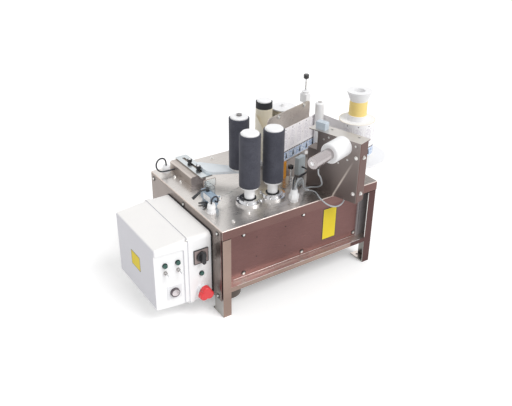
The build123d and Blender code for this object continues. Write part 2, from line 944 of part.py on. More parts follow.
driven_core(left_roller_x, left_roller_y, "left_roller_core")
driven_core(right_roller_x, right_roller_y, "right_roller_core")
foam_sleeve(left_roller_x, left_roller_y, sleeve_bottom, sleeve_top, "left_roller_sleeve")
foam_sleeve(right_roller_x, right_roller_y, sleeve_bottom, sleeve_top, "right_roller_sleeve")

# Gearmotor of the bottle rollers and square motor of the label feed, hung on pillars
motor_belt_turn = degrees(atan2(left_roller_y - motor_y, left_roller_x - motor_x))
rewind_belt_turn = degrees(atan2(rewind_t - traction_t, rewind_s - traction_s))
with BuildPart() as drive_motors:
    with BuildSketch(Plane.XY.offset(motor_bottom)):
        with Locations((motor_x, motor_y)):
            Circle(motor_radius)
    extrude(amount=motor_top - motor_bottom)
    motor_rims = drive_motors.edges().filter_by(GeomType.CIRCLE)
    chamfer(motor_rims, length=motor_chamfer)
    with BuildSketch(Plane.XY.offset(motor_top)):
        with Locations((motor_x, motor_y)):
            Circle(gearbox_radius)
    extrude(amount=gearbox_top - motor_top)
    with BuildSketch(Plane.XY.offset(gearbox_top)):
        with Locations((motor_x, motor_y)):
            with PolarLocations(gearbox_radius - pillar_inset, flange_bolts,
                                start_angle=motor_belt_turn):
                Circle(pillar_radius)
    extrude(amount=deck_under - gearbox_top)
    feed_motor_top = shaft_bottom - loose_gap
    with BuildSketch(head_plane.offset(feed_motor_top - feed_motor_height)):
        with Locations((traction_s, traction_t)):
            RectangleRounded(feed_motor_size, feed_motor_size, deck_bend)
    extrude(amount=feed_motor_height)
    with BuildSketch(head_plane.offset(feed_motor_top)):
        with Locations((traction_s, traction_t)):
            with PolarLocations(feed_motor_size / 2 - pillar_radius, flange_bolts,
                                start_angle=rewind_belt_turn):
                Circle(pillar_radius)
    extrude(amount=deck_under - feed_motor_top)
save(drive_motors, "drive_motors")

motor_pulley = toothed(
    pulley_points(upper_belt_low, upper_belt_high, gearbox_top + loose_gap)
    + ((0, upper_belt_high + pulley_flange_thick),),
    motor_x, motor_y, upper_belt_low, upper_belt_high,
)
save(motor_pulley, "motor_pulley")

belt_inner = pulley_radius + loose_gap


def belt_loop(start, end, level):
    # An open belt round two equal pulleys; its inner line clears both by the loose gap
    span = Vector(end[0] - start[0], end[1] - start[1])
    middle = ((start[0] + end[0]) / 2, (start[1] + end[1]) / 2)
    turn = degrees(atan2(span.Y, span.X))
    with BuildPart() as belt:
        with BuildSketch(Plane.XY.offset(level - belt_width / 2)):
            with Locations(Location((middle[0], middle[1], 0), (0, 0, turn))):
                SlotCenterToCenter(span.length, 2 * (belt_inner + belt_thick))
                SlotCenterToCenter(span.length, 2 * belt_inner, mode=Mode.SUBTRACT)
        extrude(amount=belt_width)
    return belt


motor_belt = belt_loop((motor_x, motor_y), driven_places[0], upper_belt_level)
roller_belt = belt_loop(driven_places[0], driven_places[1], lower_belt_level)
rewind_belt = belt_loop(driven_places[2], driven_places[3], upper_belt_level)
with BuildPart() as drive_belts:
    add(motor_belt.part)
    add(roller_belt.part)
    add(rewind_belt.part)
save(drive_belts, "drive_belts")

# Folded housing of the pressure slide
housing_top = deck_height + housing_height
housing_mid_x = (housing_left + housing_right) / 2
housing_width = housing_right - housing_left
housing_length = housing_back - housing_front
with BuildPart() as arm_housing:
    with BuildSketch(Plane.XZ.offset(-housing_back)):
        with BuildLine():
            Polyline(
                (housing_left, deck_height),
                (housing_left, housing_top - housing_chamfer),
                (housing_left + housing_chamfer, housing_top),
                (housing_right, housing_top),
                (housing_right, deck_height),
                close=True,
            )
        make_face()
    extrude(amount=housing_length)
    with BuildSketch(Plane.XZ.offset(-housing_back)):
        with BuildLine():
            Polyline(
                (housing_left + housing_sheet, deck_height),
                (housing_left + housing_sheet, housing_top - housing_chamfer - housing_sheet),
                (housing_left + housing_chamfer, housing_top - 2 * housing_sheet),
                (housing_right - housing_sheet, housing_top - 2 * housing_sheet),
                (housing_right - housing_sheet, deck_height),
                close=True,
            )
        make_face()
    extrude(amount=housing_length, mode=Mode.SUBTRACT)
    for wall_y in (housing_front + housing_sheet, housing_back):
        with BuildSketch(Plane.XZ.offset(-wall_y)):
            with BuildLine():
                Polyline(
                    (housing_left + housing_sheet, deck_height),
                    (housing_left + housing_sheet, housing_top - housing_chamfer - housing_sheet),
                    (housing_left + housing_chamfer, housing_top - 2 * housing_sheet),
                    (housing_right - housing_sheet, housing_top - 2 * housing_sheet),
                    (housing_right - housing_sheet, deck_height),
                    close=True,
                )
            make_face()
        extrude(amount=housing_sheet)
    with BuildSketch(Plane.XY.offset(housing_top)):
        with Locations((slide_x, knob_front_y), (slide_x, knob_rear_y)):
            Circle(knob_shank + run_gap)
    extrude(amount=-2 * housing_sheet, mode=Mode.SUBTRACT)
save(arm_housing, "arm_housing")

# Slotted slide plate under the two clamp screws
slide_bottom = housing_top + loose_gap
slide_top = slide_bottom + slide_thick
slide_mid_y = (slide_front + slide_back) / 2
slot_mid_y = (slot_front + slot_back) / 2
with BuildPart() as slide_plate:
    with BuildSketch(Plane.XY.offset(slide_bottom)):
        with Locations((slide_x, slide_mid_y)):
            Rectangle(slide_width, slide_back - slide_front)
        with Locations((slide_x, slot_mid_y)):
            SlotOverall(slot_back - slot_front, slot_width, rotation=90, mode=Mode.SUBTRACT)
    extrude(amount=slide_thick)
    fillet(slide_plate.edges().filter_by(Axis.Z).sort_by(Axis.Y)[:2], radius=slide_thick)
    fillet(slide_plate.edges().filter_by(Axis.Z).sort_by(Axis.Y)[-2:], radius=slide_thick)
save(slide_plate, "slide_plate")


def clamp_knob(y, name):
    # Fluted black head on a washer and a shank that passes the slot
    head_bottom = slide_top + loose_gap
    with BuildPart() as knob:
        with BuildSketch(Plane.XY.offset(head_bottom)):
            with Locations((slide_x, y)):
                Circle(knob_collar)
        extrude(amount=knob_height / 3)
        with BuildSketch(Plane.XY.offset(head_bottom + knob_height / 3)):
            with Locations((slide_x, y)):
                Circle(knob_radius)
                with PolarLocations(knob_radius, knob_flutes):
                    Circle(flute_radius, mode=Mode.SUBTRACT)
        extrude(amount=2 * knob_height / 3)
        with BuildSketch(Plane.XY.offset(housing_top - 2 * housing_sheet)):
            with Locations((slide_x, y)):
                Circle(knob_shank)
        extrude(amount=head_bottom - housing_top + 2 * housing_sheet)
    save(knob, name)


clamp_knob(knob_front_y, "clamp_knob_front")
clamp_knob(knob_rear_y, "clamp_knob_rear")

# Tapered arm on the slide plate, with the fixed pin of the pressure roller
arm_root_x = slide_x + knob_radius + 2 * loose_gap
arm_top = slide_top + arm_thick
pressure_cap_top = pressure_sleeve_top + cap_height
with BuildPart() as pressure_arm:
    with BuildSketch(Plane.XY.offset(slide_top)):
        with BuildLine():
            Polyline(
                (arm_root_x, arm_root_front),
                (arm_root_x, arm_root_back),
                (slide_x + slide_width / 2, arm_root_back),
                (pressure_x, pressure_y + arm_end_radius),
                (pressure_x, pressure_y - arm_end_radius),
                (slide_x + slide_width / 2, (arm_root_front + pressure_y) / 2),
                close=True,
            )
        make_face()
        with Locations((pressure_x, pressure_y)):
            Circle(arm_end_radius)
    extrude(amount=arm_thick)
    with BuildSketch(Plane.XY.offset(arm_top)):
        with Locations((pressure_x, pressure_y)):
            Circle(pin_nut_radius)
    extrude(amount=pin_nut_height)
    with BuildSketch(Plane.XY.offset(arm_top)):
        with Locations((pressure_x, pressure_y)):
            Circle(pin_radius)
    extrude(amount=pressure_cap_top + loose_gap - arm_top)
    with BuildSketch(Plane.XY.offset(pressure_cap_top + loose_gap)):
        with Locations((pressure_x, pressure_y)):
            RegularPolygon(pin_nut_radius, 6)
    extrude(amount=pin_nut_height)
save(pressure_arm, "pressure_arm")

pressure_core_bottom = arm_top + pin_nut_height + loose_gap
pressure_bore = pin_radius + run_gap
pressure_core = turned(
    (
        (pressure_bore, pressure_core_bottom),
        (neck_radius, pressure_core_bottom),
        (neck_radius, pressure_sleeve_bottom - collar_height),
        (cap_radius, pressure_sleeve_bottom - collar_height),
        (cap_radius, pressure_sleeve_bottom),
        (sleeve_bore, pressure_sleeve_bottom),
        (sleeve_bore, pressure_sleeve_top),
        (cap_radius, pressure_sleeve_top),
        (cap_radius, pressure_cap_top - cap_height / 2),
        (cap_radius - cap_height / 2, pressure_cap_top),
        (pressure_bore, pressure_cap_top),
    ),
    pressure_x, pressure_y,
)
save(pressure_core, "pressure_roller_core")
foam_sleeve(pressure_x, pressure_y, pressure_sleeve_bottom, pressure_sleeve_top,
            "pressure_roller_sleeve")

# Bottle switch on its foot, with guard, feeler and clamp lever
switch_bottom = deck_height + switch_lift
switch_top = switch_bottom + switch_height
switch_mid_x = (switch_left + switch_right) / 2
switch_mid_y = (switch_front + switch_back) / 2
switch_width = switch_right - switch_left
switch_length = switch_back - switch_front
with BuildPart() as switch_body:
    with BuildSketch(Plane.XY.offset(deck_height)):
        with Locations((switch_mid_x, switch_mid_y)):
            RectangleRounded(switch_width - switch_foot_margin, switch_length - switch_foot_margin,
                             switch_edge)
    extrude(amount=switch_lift)
    with BuildSketch(Plane.XY.offset(switch_bottom)):
        with Locations((switch_mid_x, switch_mid_y)):
            RectangleRounded(switch_width, switch_length, switch_edge)
    extrude(amount=switch_height)
    switch_lid = switch_body.faces().sort_by(Axis.Z)[-1]
    chamfer(switch_lid.edges(), length=switch_edge / 2)
    bracket_top = feeler_level - feeler_hub_height / 2 - loose_gap
    with BuildSketch(Plane.XY.offset(bracket_top - guard_thick)):
        with Locations((switch_right, feeler_y)):
            SlotOverall(4 * feeler_hub_radius, 2 * feeler_hub_radius)
    extrude(amount=guard_thick)
    with BuildSketch(Plane.XY.offset(bracket_top)):
        with Locations((switch_right + feeler_hub_radius + guard_thick, feeler_y)):
            Circle(feeler_pin_radius)
    extrude(amount=feeler_hub_height + guard_thick)
save(switch_body, "switch_body")

guard_front = feeler_y + 2 * feeler_hub_radius + guard_thick
with BuildPart() as switch_guard:
    with BuildSketch(Plane.XY.offset(switch_bottom)):
        with Locations((switch_right + guard_thick / 2, (guard_front + switch_back) / 2)):
            Rectangle(guard_thick, switch_back - guard_front)
    extrude(amount=switch_height + guard_rise)
    fillet(switch_guard.edges().filter_by(Axis.X).group_by(Axis.Z)[-1], radius=2 * switch_edge)
save(switch_guard, "switch_guard")

feeler_x = switch_right + feeler_hub_radius + guard_thick
feeler_start = Vector(feeler_x, feeler_y, feeler_level)
feeler_end = Vector(feeler_tip_x, feeler_tip_y, feeler_level)
feeler_dir = (feeler_end - feeler_start).normalized()
feeler_reach = (feeler_end - feeler_start).length
feeler_root = feeler_hub_radius - feeler_radius
with BuildPart() as switch_feeler:
    with BuildSketch(Plane.XY.offset(feeler_level - feeler_hub_height / 2)):
        with Locations((feeler_x, feeler_y)):
            Circle(feeler_hub_radius)
            Circle(feeler_pin_radius + run_gap, mode=Mode.SUBTRACT)
    extrude(amount=feeler_hub_height)
    with BuildSketch(Plane(origin=feeler_start + feeler_dir * feeler_root, z_dir=feeler_dir)):
        Circle(feeler_radius)
    extrude(amount=feeler_reach - feeler_root)
    with Locations(feeler_end):
        Sphere(2 * feeler_radius)
save(switch_feeler, "switch_feeler")

lever_bottom = switch_top + loose_gap
with BuildPart() as switch_clamp_lever:
    with BuildSketch(Plane.XY.offset(lever_bottom)):
        with Locations((switch_mid_x, lever_y)):
            Circle(lever_hub_radius)
    extrude(amount=lever_hub_height)
    with BuildSketch(Plane(origin=(switch_mid_x, lever_y, lever_bottom + lever_hub_height / 2),
                           z_dir=(-1, 0, 0))):
        Circle(lever_radius)
    extrude(amount=lever_length)
    with Locations((switch_mid_x - lever_length, lever_y, lever_bottom + lever_hub_height / 2)):
        Sphere(lever_radius)
save(switch_clamp_lever, "switch_clamp_lever")

# Posts, feet and the round base of the label head
post_t = peel_thick + post_radius
guide_t = -(guide_radius + web_thick + web_gap)
head_posts = ((post_left_s, post_t), (post_right_s, post_t))
with BuildPart() as head_base:
    with BuildSketch(head_plane.offset(deck_height)):
        with Locations(*head_posts):
            Circle(post_foot_radius)
    extrude(amount=post_foot_height)
    with BuildSketch(head_plane.offset(deck_height)):
        with Locations(*head_posts):
            Circle(post_radius)
    extrude(amount=peel_top - post_drop - deck_height)
    with BuildSketch(head_plane.offset(deck_height)):
        with Locations((head_disc_s, head_disc_t)):
            Circle(head_disc_radius)
        with Locations(*head_posts):
            Circle(post_foot_radius, mode=Mode.SUBTRACT)
    extrude(amount=head_disc_height)
    with BuildSketch(head_plane.offset(deck_height)):
        with Locations((adjuster_s, adjuster_t)):
            Circle(adjuster_foot_radius)
    extrude(amount=adjuster_foot_height)
    with BuildSketch(head_plane.offset(deck_height)):
        with Locations((guide_s, guide_t)):
            Circle(guide_foot_radius)
    extrude(amount=guide_foot_height)
    with BuildSketch(head_plane.offset(deck_height)):
        with Locations((guide_s, guide_t)):
            Circle(guide_bore)
    extrude(amount=guide_top - deck_height)
    with BuildSketch(head_plane.offset(deck_height)):
        with Locations((guide_s, guide_t)):
            Circle(guide_radius - guide_bore)
    extrude(amount=guide_bottom - loose_gap - deck_height)
save(head_base, "head_base")

# Peel plate, a rounded upright sheet with the web on its front
peel_plane = Plane(origin=(head_x, head_y, 0), x_dir=(head_cos, head_sin, 0),
                   z_dir=(head_sin, -head_cos, 0))
with BuildPart() as peel_plate:
    with BuildSketch(peel_plane.offset(-peel_thick)):
        with Locations((peel_length / 2, (peel_bottom + peel_top) / 2)):
            RectangleRounded(peel_length, peel_top - peel_bottom, peel_corner)
    extrude(amount=peel_thick)
save(peel_plate, "peel_plate")


def tangent_points(centre_a, radius_a, centre_b, radius_b):
    # Line that leaves circle a clockwise and meets circle b; a negative radius_b crosses over
    across = Vector(centre_b[0] - centre_a[0], centre_b[1] - centre_a[1])
    away = acos((radius_a - radius_b) / across.length)
    heading = atan2(across.Y, across.X) + away
    leave = (centre_a[0] + radius_a * cos(heading), centre_a[1] + radius_a * sin(heading))
    meet = (centre_b[0] + radius_b * cos(heading), centre_b[1] + radius_b * sin(heading))
    return leave, meet, heading


def arc_middle(centre, radius, angle_a, angle_b):
    middle = (angle_a + angle_b) / 2
    return (centre[0] + radius * cos(middle), centre[1] + radius * sin(middle))


# Label web from the roll round the guide roller to the peel edge, in head coordinates
quarter = radians(90)
web_line = -(web_gap + web_thick / 2)
guide_centre = (guide_s, guide_t)
guide_wrap = guide_radius + web_gap + web_thick / 2
roll_wrap = roll_radius + web_gap + web_thick / 2
guide_leave, roll_meet, guide_heading = tangent_points(
    guide_centre, guide_wrap, (reel_s, reel_t), -roll_wrap)
web_height = web_top - web_bottom
with BuildPart() as label_web:
    with BuildSketch(head_plane.offset(web_bottom)):
        with BuildLine():
            Line((0, guide_t + guide_wrap), (guide_s, guide_t + guide_wrap))
            ThreePointArc(
                (guide_s, guide_t + guide_wrap),
                arc_middle(guide_centre, guide_wrap, quarter, guide_heading),
                guide_leave,
            )
            Line(guide_leave, roll_meet)
        trace(line_width=web_thick)
    extrude(amount=web_height)
save(label_web, "label_web")

# Spent liner from the peel edge round the traction roller to the rewind roll
nose_centre = (0, peel_thick / 2)
nose_wrap = peel_thick / 2 - web_line
traction_centre = (traction_s, traction_t)
traction_wrap = traction_radius + web_gap + web_thick / 2
rewind_centre = (rewind_s, rewind_t)
rewind_wrap = rewind_radius + web_gap + web_thick / 2
nose_leave, traction_meet, nose_heading = tangent_points(
    nose_centre, nose_wrap, traction_centre, traction_wrap)
traction_leave, rewind_meet, traction_heading = tangent_points(
    traction_centre, traction_wrap, rewind_centre, rewind_wrap)
with BuildPart() as liner:
    with BuildSketch(head_plane.offset(web_bottom)):
        with BuildLine():
            ThreePointArc(
                (0, nose_centre[1] - nose_wrap),
                (-nose_wrap, nose_centre[1]),
                nose_leave,
            )
            Line(nose_leave, traction_meet)
            ThreePointArc(
                traction_meet,
                arc_middle(traction_centre, traction_wrap, nose_heading, traction_heading),
                traction_leave,
            )
            Line(traction_leave, rewind_meet)
        trace(line_width=web_thick)
    extrude(amount=web_height)
save(liner, "liner")

# Label sensor block under the web, and the sensor on the tower
sensor_base = deck_height
tower_mid_s = tower_s + tower_width / 2
eye_t = tower_back - eye_t_inset
with BuildPart() as photo_sensors:
    with BuildSketch(head_plane.offset(sensor_base)):
        with Locations((sensor_s, sensor_t)):
            RectangleRounded(sensor_length, sensor_depth, sensor_edge)
    extrude(amount=sensor_height)
    with BuildSketch(head_plane.offset(tower_top)):
        with Locations((tower_s + eye_s, eye_t)):
            RectangleRounded(eye_width, eye_length, sensor_edge)
    extrude(amount=eye_height)
    sensor_tops = photo_sensors.faces().filter_by(Axis.Z).sort_by(Axis.Z)
    fillet(sensor_tops[-1].edges(), radius=sensor_edge)
save(photo_sensors, "photo_sensors")

with BuildPart() as head_bracket:
    with BuildSketch(head_plane.offset(deck_height + head_disc_height)):
        with Locations((bracket_s, -peel_thick / 2)):
            Rectangle(bracket_width, peel_thick)
    extrude(amount=peel_bottom - deck_height - head_disc_height)
save(head_bracket, "head_bracket")


def head_clamp(s, t, bottom, stud_height, name):
    # Fluted knob on a plain stud that stands on the deck or the round base
    with BuildPart() as clamp:
        with BuildSketch(head_plane.offset(bottom + loose_gap)):
            with Locations((s, t)):
                Circle(head_stud_radius)
        extrude(amount=stud_height)
        with BuildSketch(head_plane.offset(bottom + loose_gap + stud_height)):
            with Locations((s, t)):
                Circle(head_knob_radius)
                with PolarLocations(head_knob_radius, knob_flutes):
                    Circle(flute_radius, mode=Mode.SUBTRACT)
        extrude(amount=head_knob_height)
    save(clamp, name)


head_disc_top = deck_height + head_disc_height
head_clamp(head_knob_s, head_knob_t, head_disc_top, head_stud_height, "head_clamp")

# Traction roller: turned core, rubber sleeve
traction_core = toothed(
    pulley_points(upper_belt_low, upper_belt_high, shaft_bottom) + (
        (shaft_radius, neck_bottom),
        (neck_radius, neck_bottom),
        (neck_radius, traction_bottom - collar_height),
        (traction_core_radius, traction_bottom - collar_height),
        (traction_core_radius, traction_top + cap_height / 2),
        (traction_core_radius - cap_height / 2, traction_top + cap_height),
        (0, traction_top + cap_height),
    ),
    traction_x, traction_y, upper_belt_low, upper_belt_high,
)
save(traction_core, "traction_roller_core")
with BuildPart() as traction_sleeve:
    with BuildSketch(Plane.XY.offset(traction_bottom)):
        with Locations((traction_x, traction_y)):
            Circle(traction_radius)
            Circle(traction_core_radius, mode=Mode.SUBTRACT)
    extrude(amount=traction_top - traction_bottom)
save(traction_sleeve, "traction_roller_sleeve")

# Rewind spool and the roll of spent liner
rewind_disc_bottom = web_bottom - rewind_disc_thick
rewind_upper = web_top + rewind_disc_thick
rewind_spool = toothed(
    pulley_points(upper_belt_low, upper_belt_high, shaft_bottom) + (
        (shaft_radius, neck_bottom),
        (rewind_core_radius, neck_bottom),
        (rewind_core_radius, rewind_disc_bottom),
        (rewind_disc_radius, rewind_disc_bottom),
        (rewind_disc_radius, web_bottom),
        (rewind_core_radius, web_bottom),
        (rewind_core_radius, web_top),
        (rewind_disc_radius, web_top),
        (rewind_disc_radius, rewind_upper),
        (rewind_nut_radius, rewind_upper),
        (rewind_nut_radius, rewind_upper + rewind_nut_height),
        (0, rewind_upper + rewind_nut_height),
    ),
    rewind_x, rewind_y, upper_belt_low, upper_belt_high,
)
save(rewind_spool, "rewind_spool")
with BuildPart() as rewind_roll:
    with BuildSketch(Plane.XY.offset(web_bottom)):
        with Locations((rewind_x, rewind_y)):
            Circle(rewind_radius)
            Circle(rewind_core_radius, mode=Mode.SUBTRACT)
    extrude(amount=web_height)
save(rewind_roll, "rewind_roll")

# White guide roller on the pin of the head base
guide_x, guide_y = head_point(guide_s, guide_t)
guide_roller = turned(
    (
        (guide_bore + run_gap, guide_bottom),
        (guide_radius, guide_bottom),
        (guide_radius, guide_top - cap_height),
        (guide_radius - cap_height / 2, guide_top - cap_height / 2),
        (guide_bore + run_gap, guide_top - cap_height / 2),
    ),
    guide_x, guide_y,
)
save(guide_roller, "guide_roller")

# Tension adjuster: column, block and collar, then the rod with its knob
adjuster_x, adjuster_y = head_point(adjuster_s, adjuster_t)
adjuster_foot_top = deck_height + adjuster_foot_height
adjuster_block_top = adjuster_block_bottom + adjuster_block_height
adjuster_collar_top = adjuster_block_top + adjuster_collar_height
with BuildPart() as adjuster_post:
    with BuildSketch(head_plane.offset(adjuster_foot_top)):
        with Locations((adjuster_s, adjuster_t)):
            Circle(adjuster_column_radius)
    extrude(amount=adjuster_block_bottom - adjuster_foot_top)
    with BuildSketch(head_plane.offset(adjuster_block_bottom)):
        with Locations((adjuster_s, adjuster_t)):
            RectangleRounded(adjuster_block_size, adjuster_block_size, deck_bend)
    extrude(amount=adjuster_block_height)
    with BuildSketch(head_plane.offset(adjuster_block_top)):
        with Locations((adjuster_s, adjuster_t)):
            Circle(adjuster_collar_radius)
            Circle(adjuster_rod_radius + run_gap, mode=Mode.SUBTRACT)
    extrude(amount=adjuster_collar_height)
save(adjuster_post, "adjuster_post")

rod_bottom = adjuster_collar_top - adjuster_seat
rod_top = adjuster_collar_top + adjuster_rod_length
adjuster_knob = turned(
    (
        (0, rod_bottom),
        (adjuster_rod_radius, rod_bottom),
        (adjuster_rod_radius, rod_top),
        (adjuster_knob_radius - flute_radius, rod_top),
        (adjuster_knob_radius, rod_top + flute_radius),
        (adjuster_knob_radius, rod_top + adjuster_knob_height - flute_radius),
        (adjuster_knob_radius - flute_radius, rod_top + adjuster_knob_height),
        (0, rod_top + adjuster_knob_height),
    ),
    adjuster_x, adjuster_y,
)
save(adjuster_knob, "adjuster_knob")

# Tower: one sheet folded to a channel, a lid plate and a foot flange on the deck
tower_length = tower_back - tower_front
tower_mid_t = (tower_front + tower_back) / 2
tower_socket_t = drum_t - tower_socket_width
tower_socket_place = head_point(tower_s + tower_sheet + tower_socket_depth / 2, tower_socket_t)
tower_wall_top = tower_top - tower_sheet
tower_wall_height = tower_wall_top - deck_height
with BuildPart() as tower_body:
    with BuildSketch(head_plane.offset(deck_height)):
        with Locations((tower_mid_s, tower_mid_t)):
            Rectangle(tower_width, tower_length)
    extrude(amount=tower_wall_height)
    tower_edges = tower_body.edges().filter_by(Axis.Z)
    fillet(tower_edges, radius=tower_bend)
    with BuildSketch(head_plane.offset(deck_height)):
        with Locations((tower_mid_s, tower_mid_t)):
            Rectangle(tower_width - 2 * tower_sheet, tower_length - 2 * tower_sheet)
    extrude(amount=tower_wall_height, mode=Mode.SUBTRACT)
    with BuildSketch(head_plane.offset(deck_height)):
        with Locations((tower_s + tower_width, tower_mid_t)):
            Rectangle(2 * tower_sheet + cut_margin, tower_length - 4 * tower_bend)
    extrude(amount=tower_wall_height, mode=Mode.SUBTRACT)
    socket_bottom = deck_height + tower_socket_rise
    with BuildSketch(head_plane.offset(socket_bottom)):
        with Locations((tower_s + tower_sheet + tower_socket_depth / 2, tower_socket_t)):
            Rectangle(tower_socket_depth, tower_socket_width)
    extrude(amount=tower_socket_height)
    foot_t = tower_back - tower_sheet - tower_foot_width
    with BuildSketch(head_plane.offset(deck_height)):
        with Locations((tower_s + tower_sheet + tower_foot_width / 2, foot_t)):
            Rectangle(tower_foot_width, 2 * tower_foot_width)
    extrude(amount=tower_sheet)
    with BuildSketch(head_plane.offset(tower_wall_top)):
        with Locations((tower_s + tower_lid_width / 2, tower_mid_t)):
            RectangleRounded(tower_lid_width, tower_length, tower_bend)
    extrude(amount=tower_sheet)
    tower_shelf = deck_height + tower_shelf_rise
    neck_mid_t = (tower_neck + tower_back) / 2
    with BuildSketch(head_plane.offset(tower_shelf)):
        with Locations((tower_mid_s, neck_mid_t)):
            Rectangle(tower_width + cut_margin, tower_back - tower_neck)
        with Locations((tower_mid_s, tower_back)):
            Rectangle(tower_width + cut_margin, 2 * tower_sheet)
    extrude(amount=tower_wall_top - tower_shelf, mode=Mode.SUBTRACT)
    with BuildSketch(head_plane.offset(tower_shelf - tower_sheet)):
        with Locations((tower_mid_s, neck_mid_t - tower_sheet)):
            Rectangle(tower_width - 2 * tower_bend, tower_back - tower_neck)
    extrude(amount=tower_sheet)
    with BuildSketch(head_plane.offset(tower_shelf - tower_sheet)):
        with Locations((tower_mid_s, tower_neck - tower_sheet / 2)):
            Rectangle(tower_width - tower_sheet, tower_sheet)
    extrude(amount=tower_wall_top + tower_sheet - tower_shelf)
save(tower_body, "tower_body")

# Drum and tube of the motor on the tower, on a line that points back along the web
drum_plane = Plane(
    origin=(*head_point(tower_s, drum_t), drum_level),
    x_dir=(-head_sin, head_cos, 0), z_dir=(-head_cos, -head_sin, 0))
with BuildPart() as drum_housing:
    with BuildSketch(drum_plane):
        Circle(drum_radius)
    extrude(amount=drum_length)
    drum_rims = drum_housing.edges().filter_by(GeomType.CIRCLE).sort_by(Axis.X)[0]
    fillet(drum_rims, radius=drum_edge)
save(drum_housing, "drum_housing")

with BuildPart() as side_motor:
    with BuildSketch(drum_plane.offset(drum_length)):
        Circle(motor_tube_radius)
    extrude(amount=motor_tube_length)
    motor_end = side_motor.edges().filter_by(GeomType.CIRCLE).sort_by(Axis.X)[0]
    chamfer(motor_end, length=flute_radius)
    plug_place = head_point(tower_s - drum_length - motor_plug_reach, drum_t)
    plug_bottom = drum_level - motor_tube_radius - motor_plug_length
    with BuildSketch(Plane.XY.offset(plug_bottom)):
        with Locations(plug_place):
            Circle(motor_plug_radius)
    extrude(amount=motor_plug_length + motor_tube_radius / 2)
save(side_motor, "side_motor")

# Reel bracket: a bar on the deck with the post and the fixed pin
reel_x, reel_y = head_point(reel_s, reel_t)
bar_top = deck_height + reel_bar_thick
reel_disc_top = web_bottom - reel_disc_drop
reel_disc_bottom = reel_disc_top - reel_disc_thick
cone_floor = cone_top - cone_depth
with BuildPart() as reel_bracket:
    with BuildSketch(Plane.XY.offset(deck_height)):
        with Locations(((reel_bar_start + reel_bar_end) / 2, reel_y)):
            RectangleRounded(reel_bar_end - reel_bar_start, reel_bar_width, reel_bar_thick)
    extrude(amount=reel_bar_thick)
    with BuildSketch(Plane.XY.offset(bar_top)):
        with Locations((reel_x, reel_y)):
            Circle(reel_post_radius)
    extrude(amount=reel_disc_bottom - loose_gap - bar_top)
    with BuildSketch(Plane.XY.offset(bar_top)):
        with Locations((reel_x, reel_y)):
            Circle(reel_pin_radius)
    extrude(amount=cone_floor - bar_top)
save(reel_bracket, "reel_bracket")

with BuildPart() as support_disc:
    with BuildSketch(Plane.XY.offset(reel_disc_bottom)):
        with Locations((reel_x, reel_y)):
            Circle(reel_disc_radius)
            Circle(reel_pin_radius + run_gap, mode=Mode.SUBTRACT)
    extrude(amount=reel_disc_thick)
    disc_rims = support_disc.edges().filter_by(GeomType.CIRCLE).sort_by(SortBy.LENGTH)[-2:]
    fillet(disc_rims, radius=reel_disc_thick / 3)
save(support_disc, "support_disc")

reel_hub = turned(
    (
        (reel_pin_radius + run_gap, reel_disc_top),
        (reel_seat_radius, reel_disc_top),
        (reel_seat_radius, web_bottom),
        (reel_hub_radius, web_bottom),
        (reel_hub_radius, web_top + loose_gap),
        (collar_radius, web_top + loose_gap),
        (collar_radius, collar_top),
        (reel_hub_radius, collar_top),
        (reel_hub_radius, drum_sleeve_top),
        (cone_bottom_radius, drum_sleeve_top),
        (cone_radius, cone_top),
        (cone_hole_radius, cone_top),
        (cone_hole_radius, cone_floor),
        (reel_pin_radius + run_gap, cone_floor),
    ),
    reel_x, reel_y,
)
save(reel_hub, "reel_hub")

with BuildPart() as brake_drum:
    with BuildSketch(Plane.XY.offset(collar_top)):
        with Locations((reel_x, reel_y)):
            Circle(drum_sleeve_radius)
            Circle(reel_hub_radius, mode=Mode.SUBTRACT)
    extrude(amount=drum_sleeve_top - collar_top)
save(brake_drum, "brake_drum")

with BuildPart() as label_roll:
    with BuildSketch(Plane.XY.offset(web_bottom)):
        with Locations((reel_x, reel_y)):
            Circle(roll_radius)
            Circle(reel_hub_radius, mode=Mode.SUBTRACT)
    extrude(amount=web_height)
save(label_roll, "label_roll")

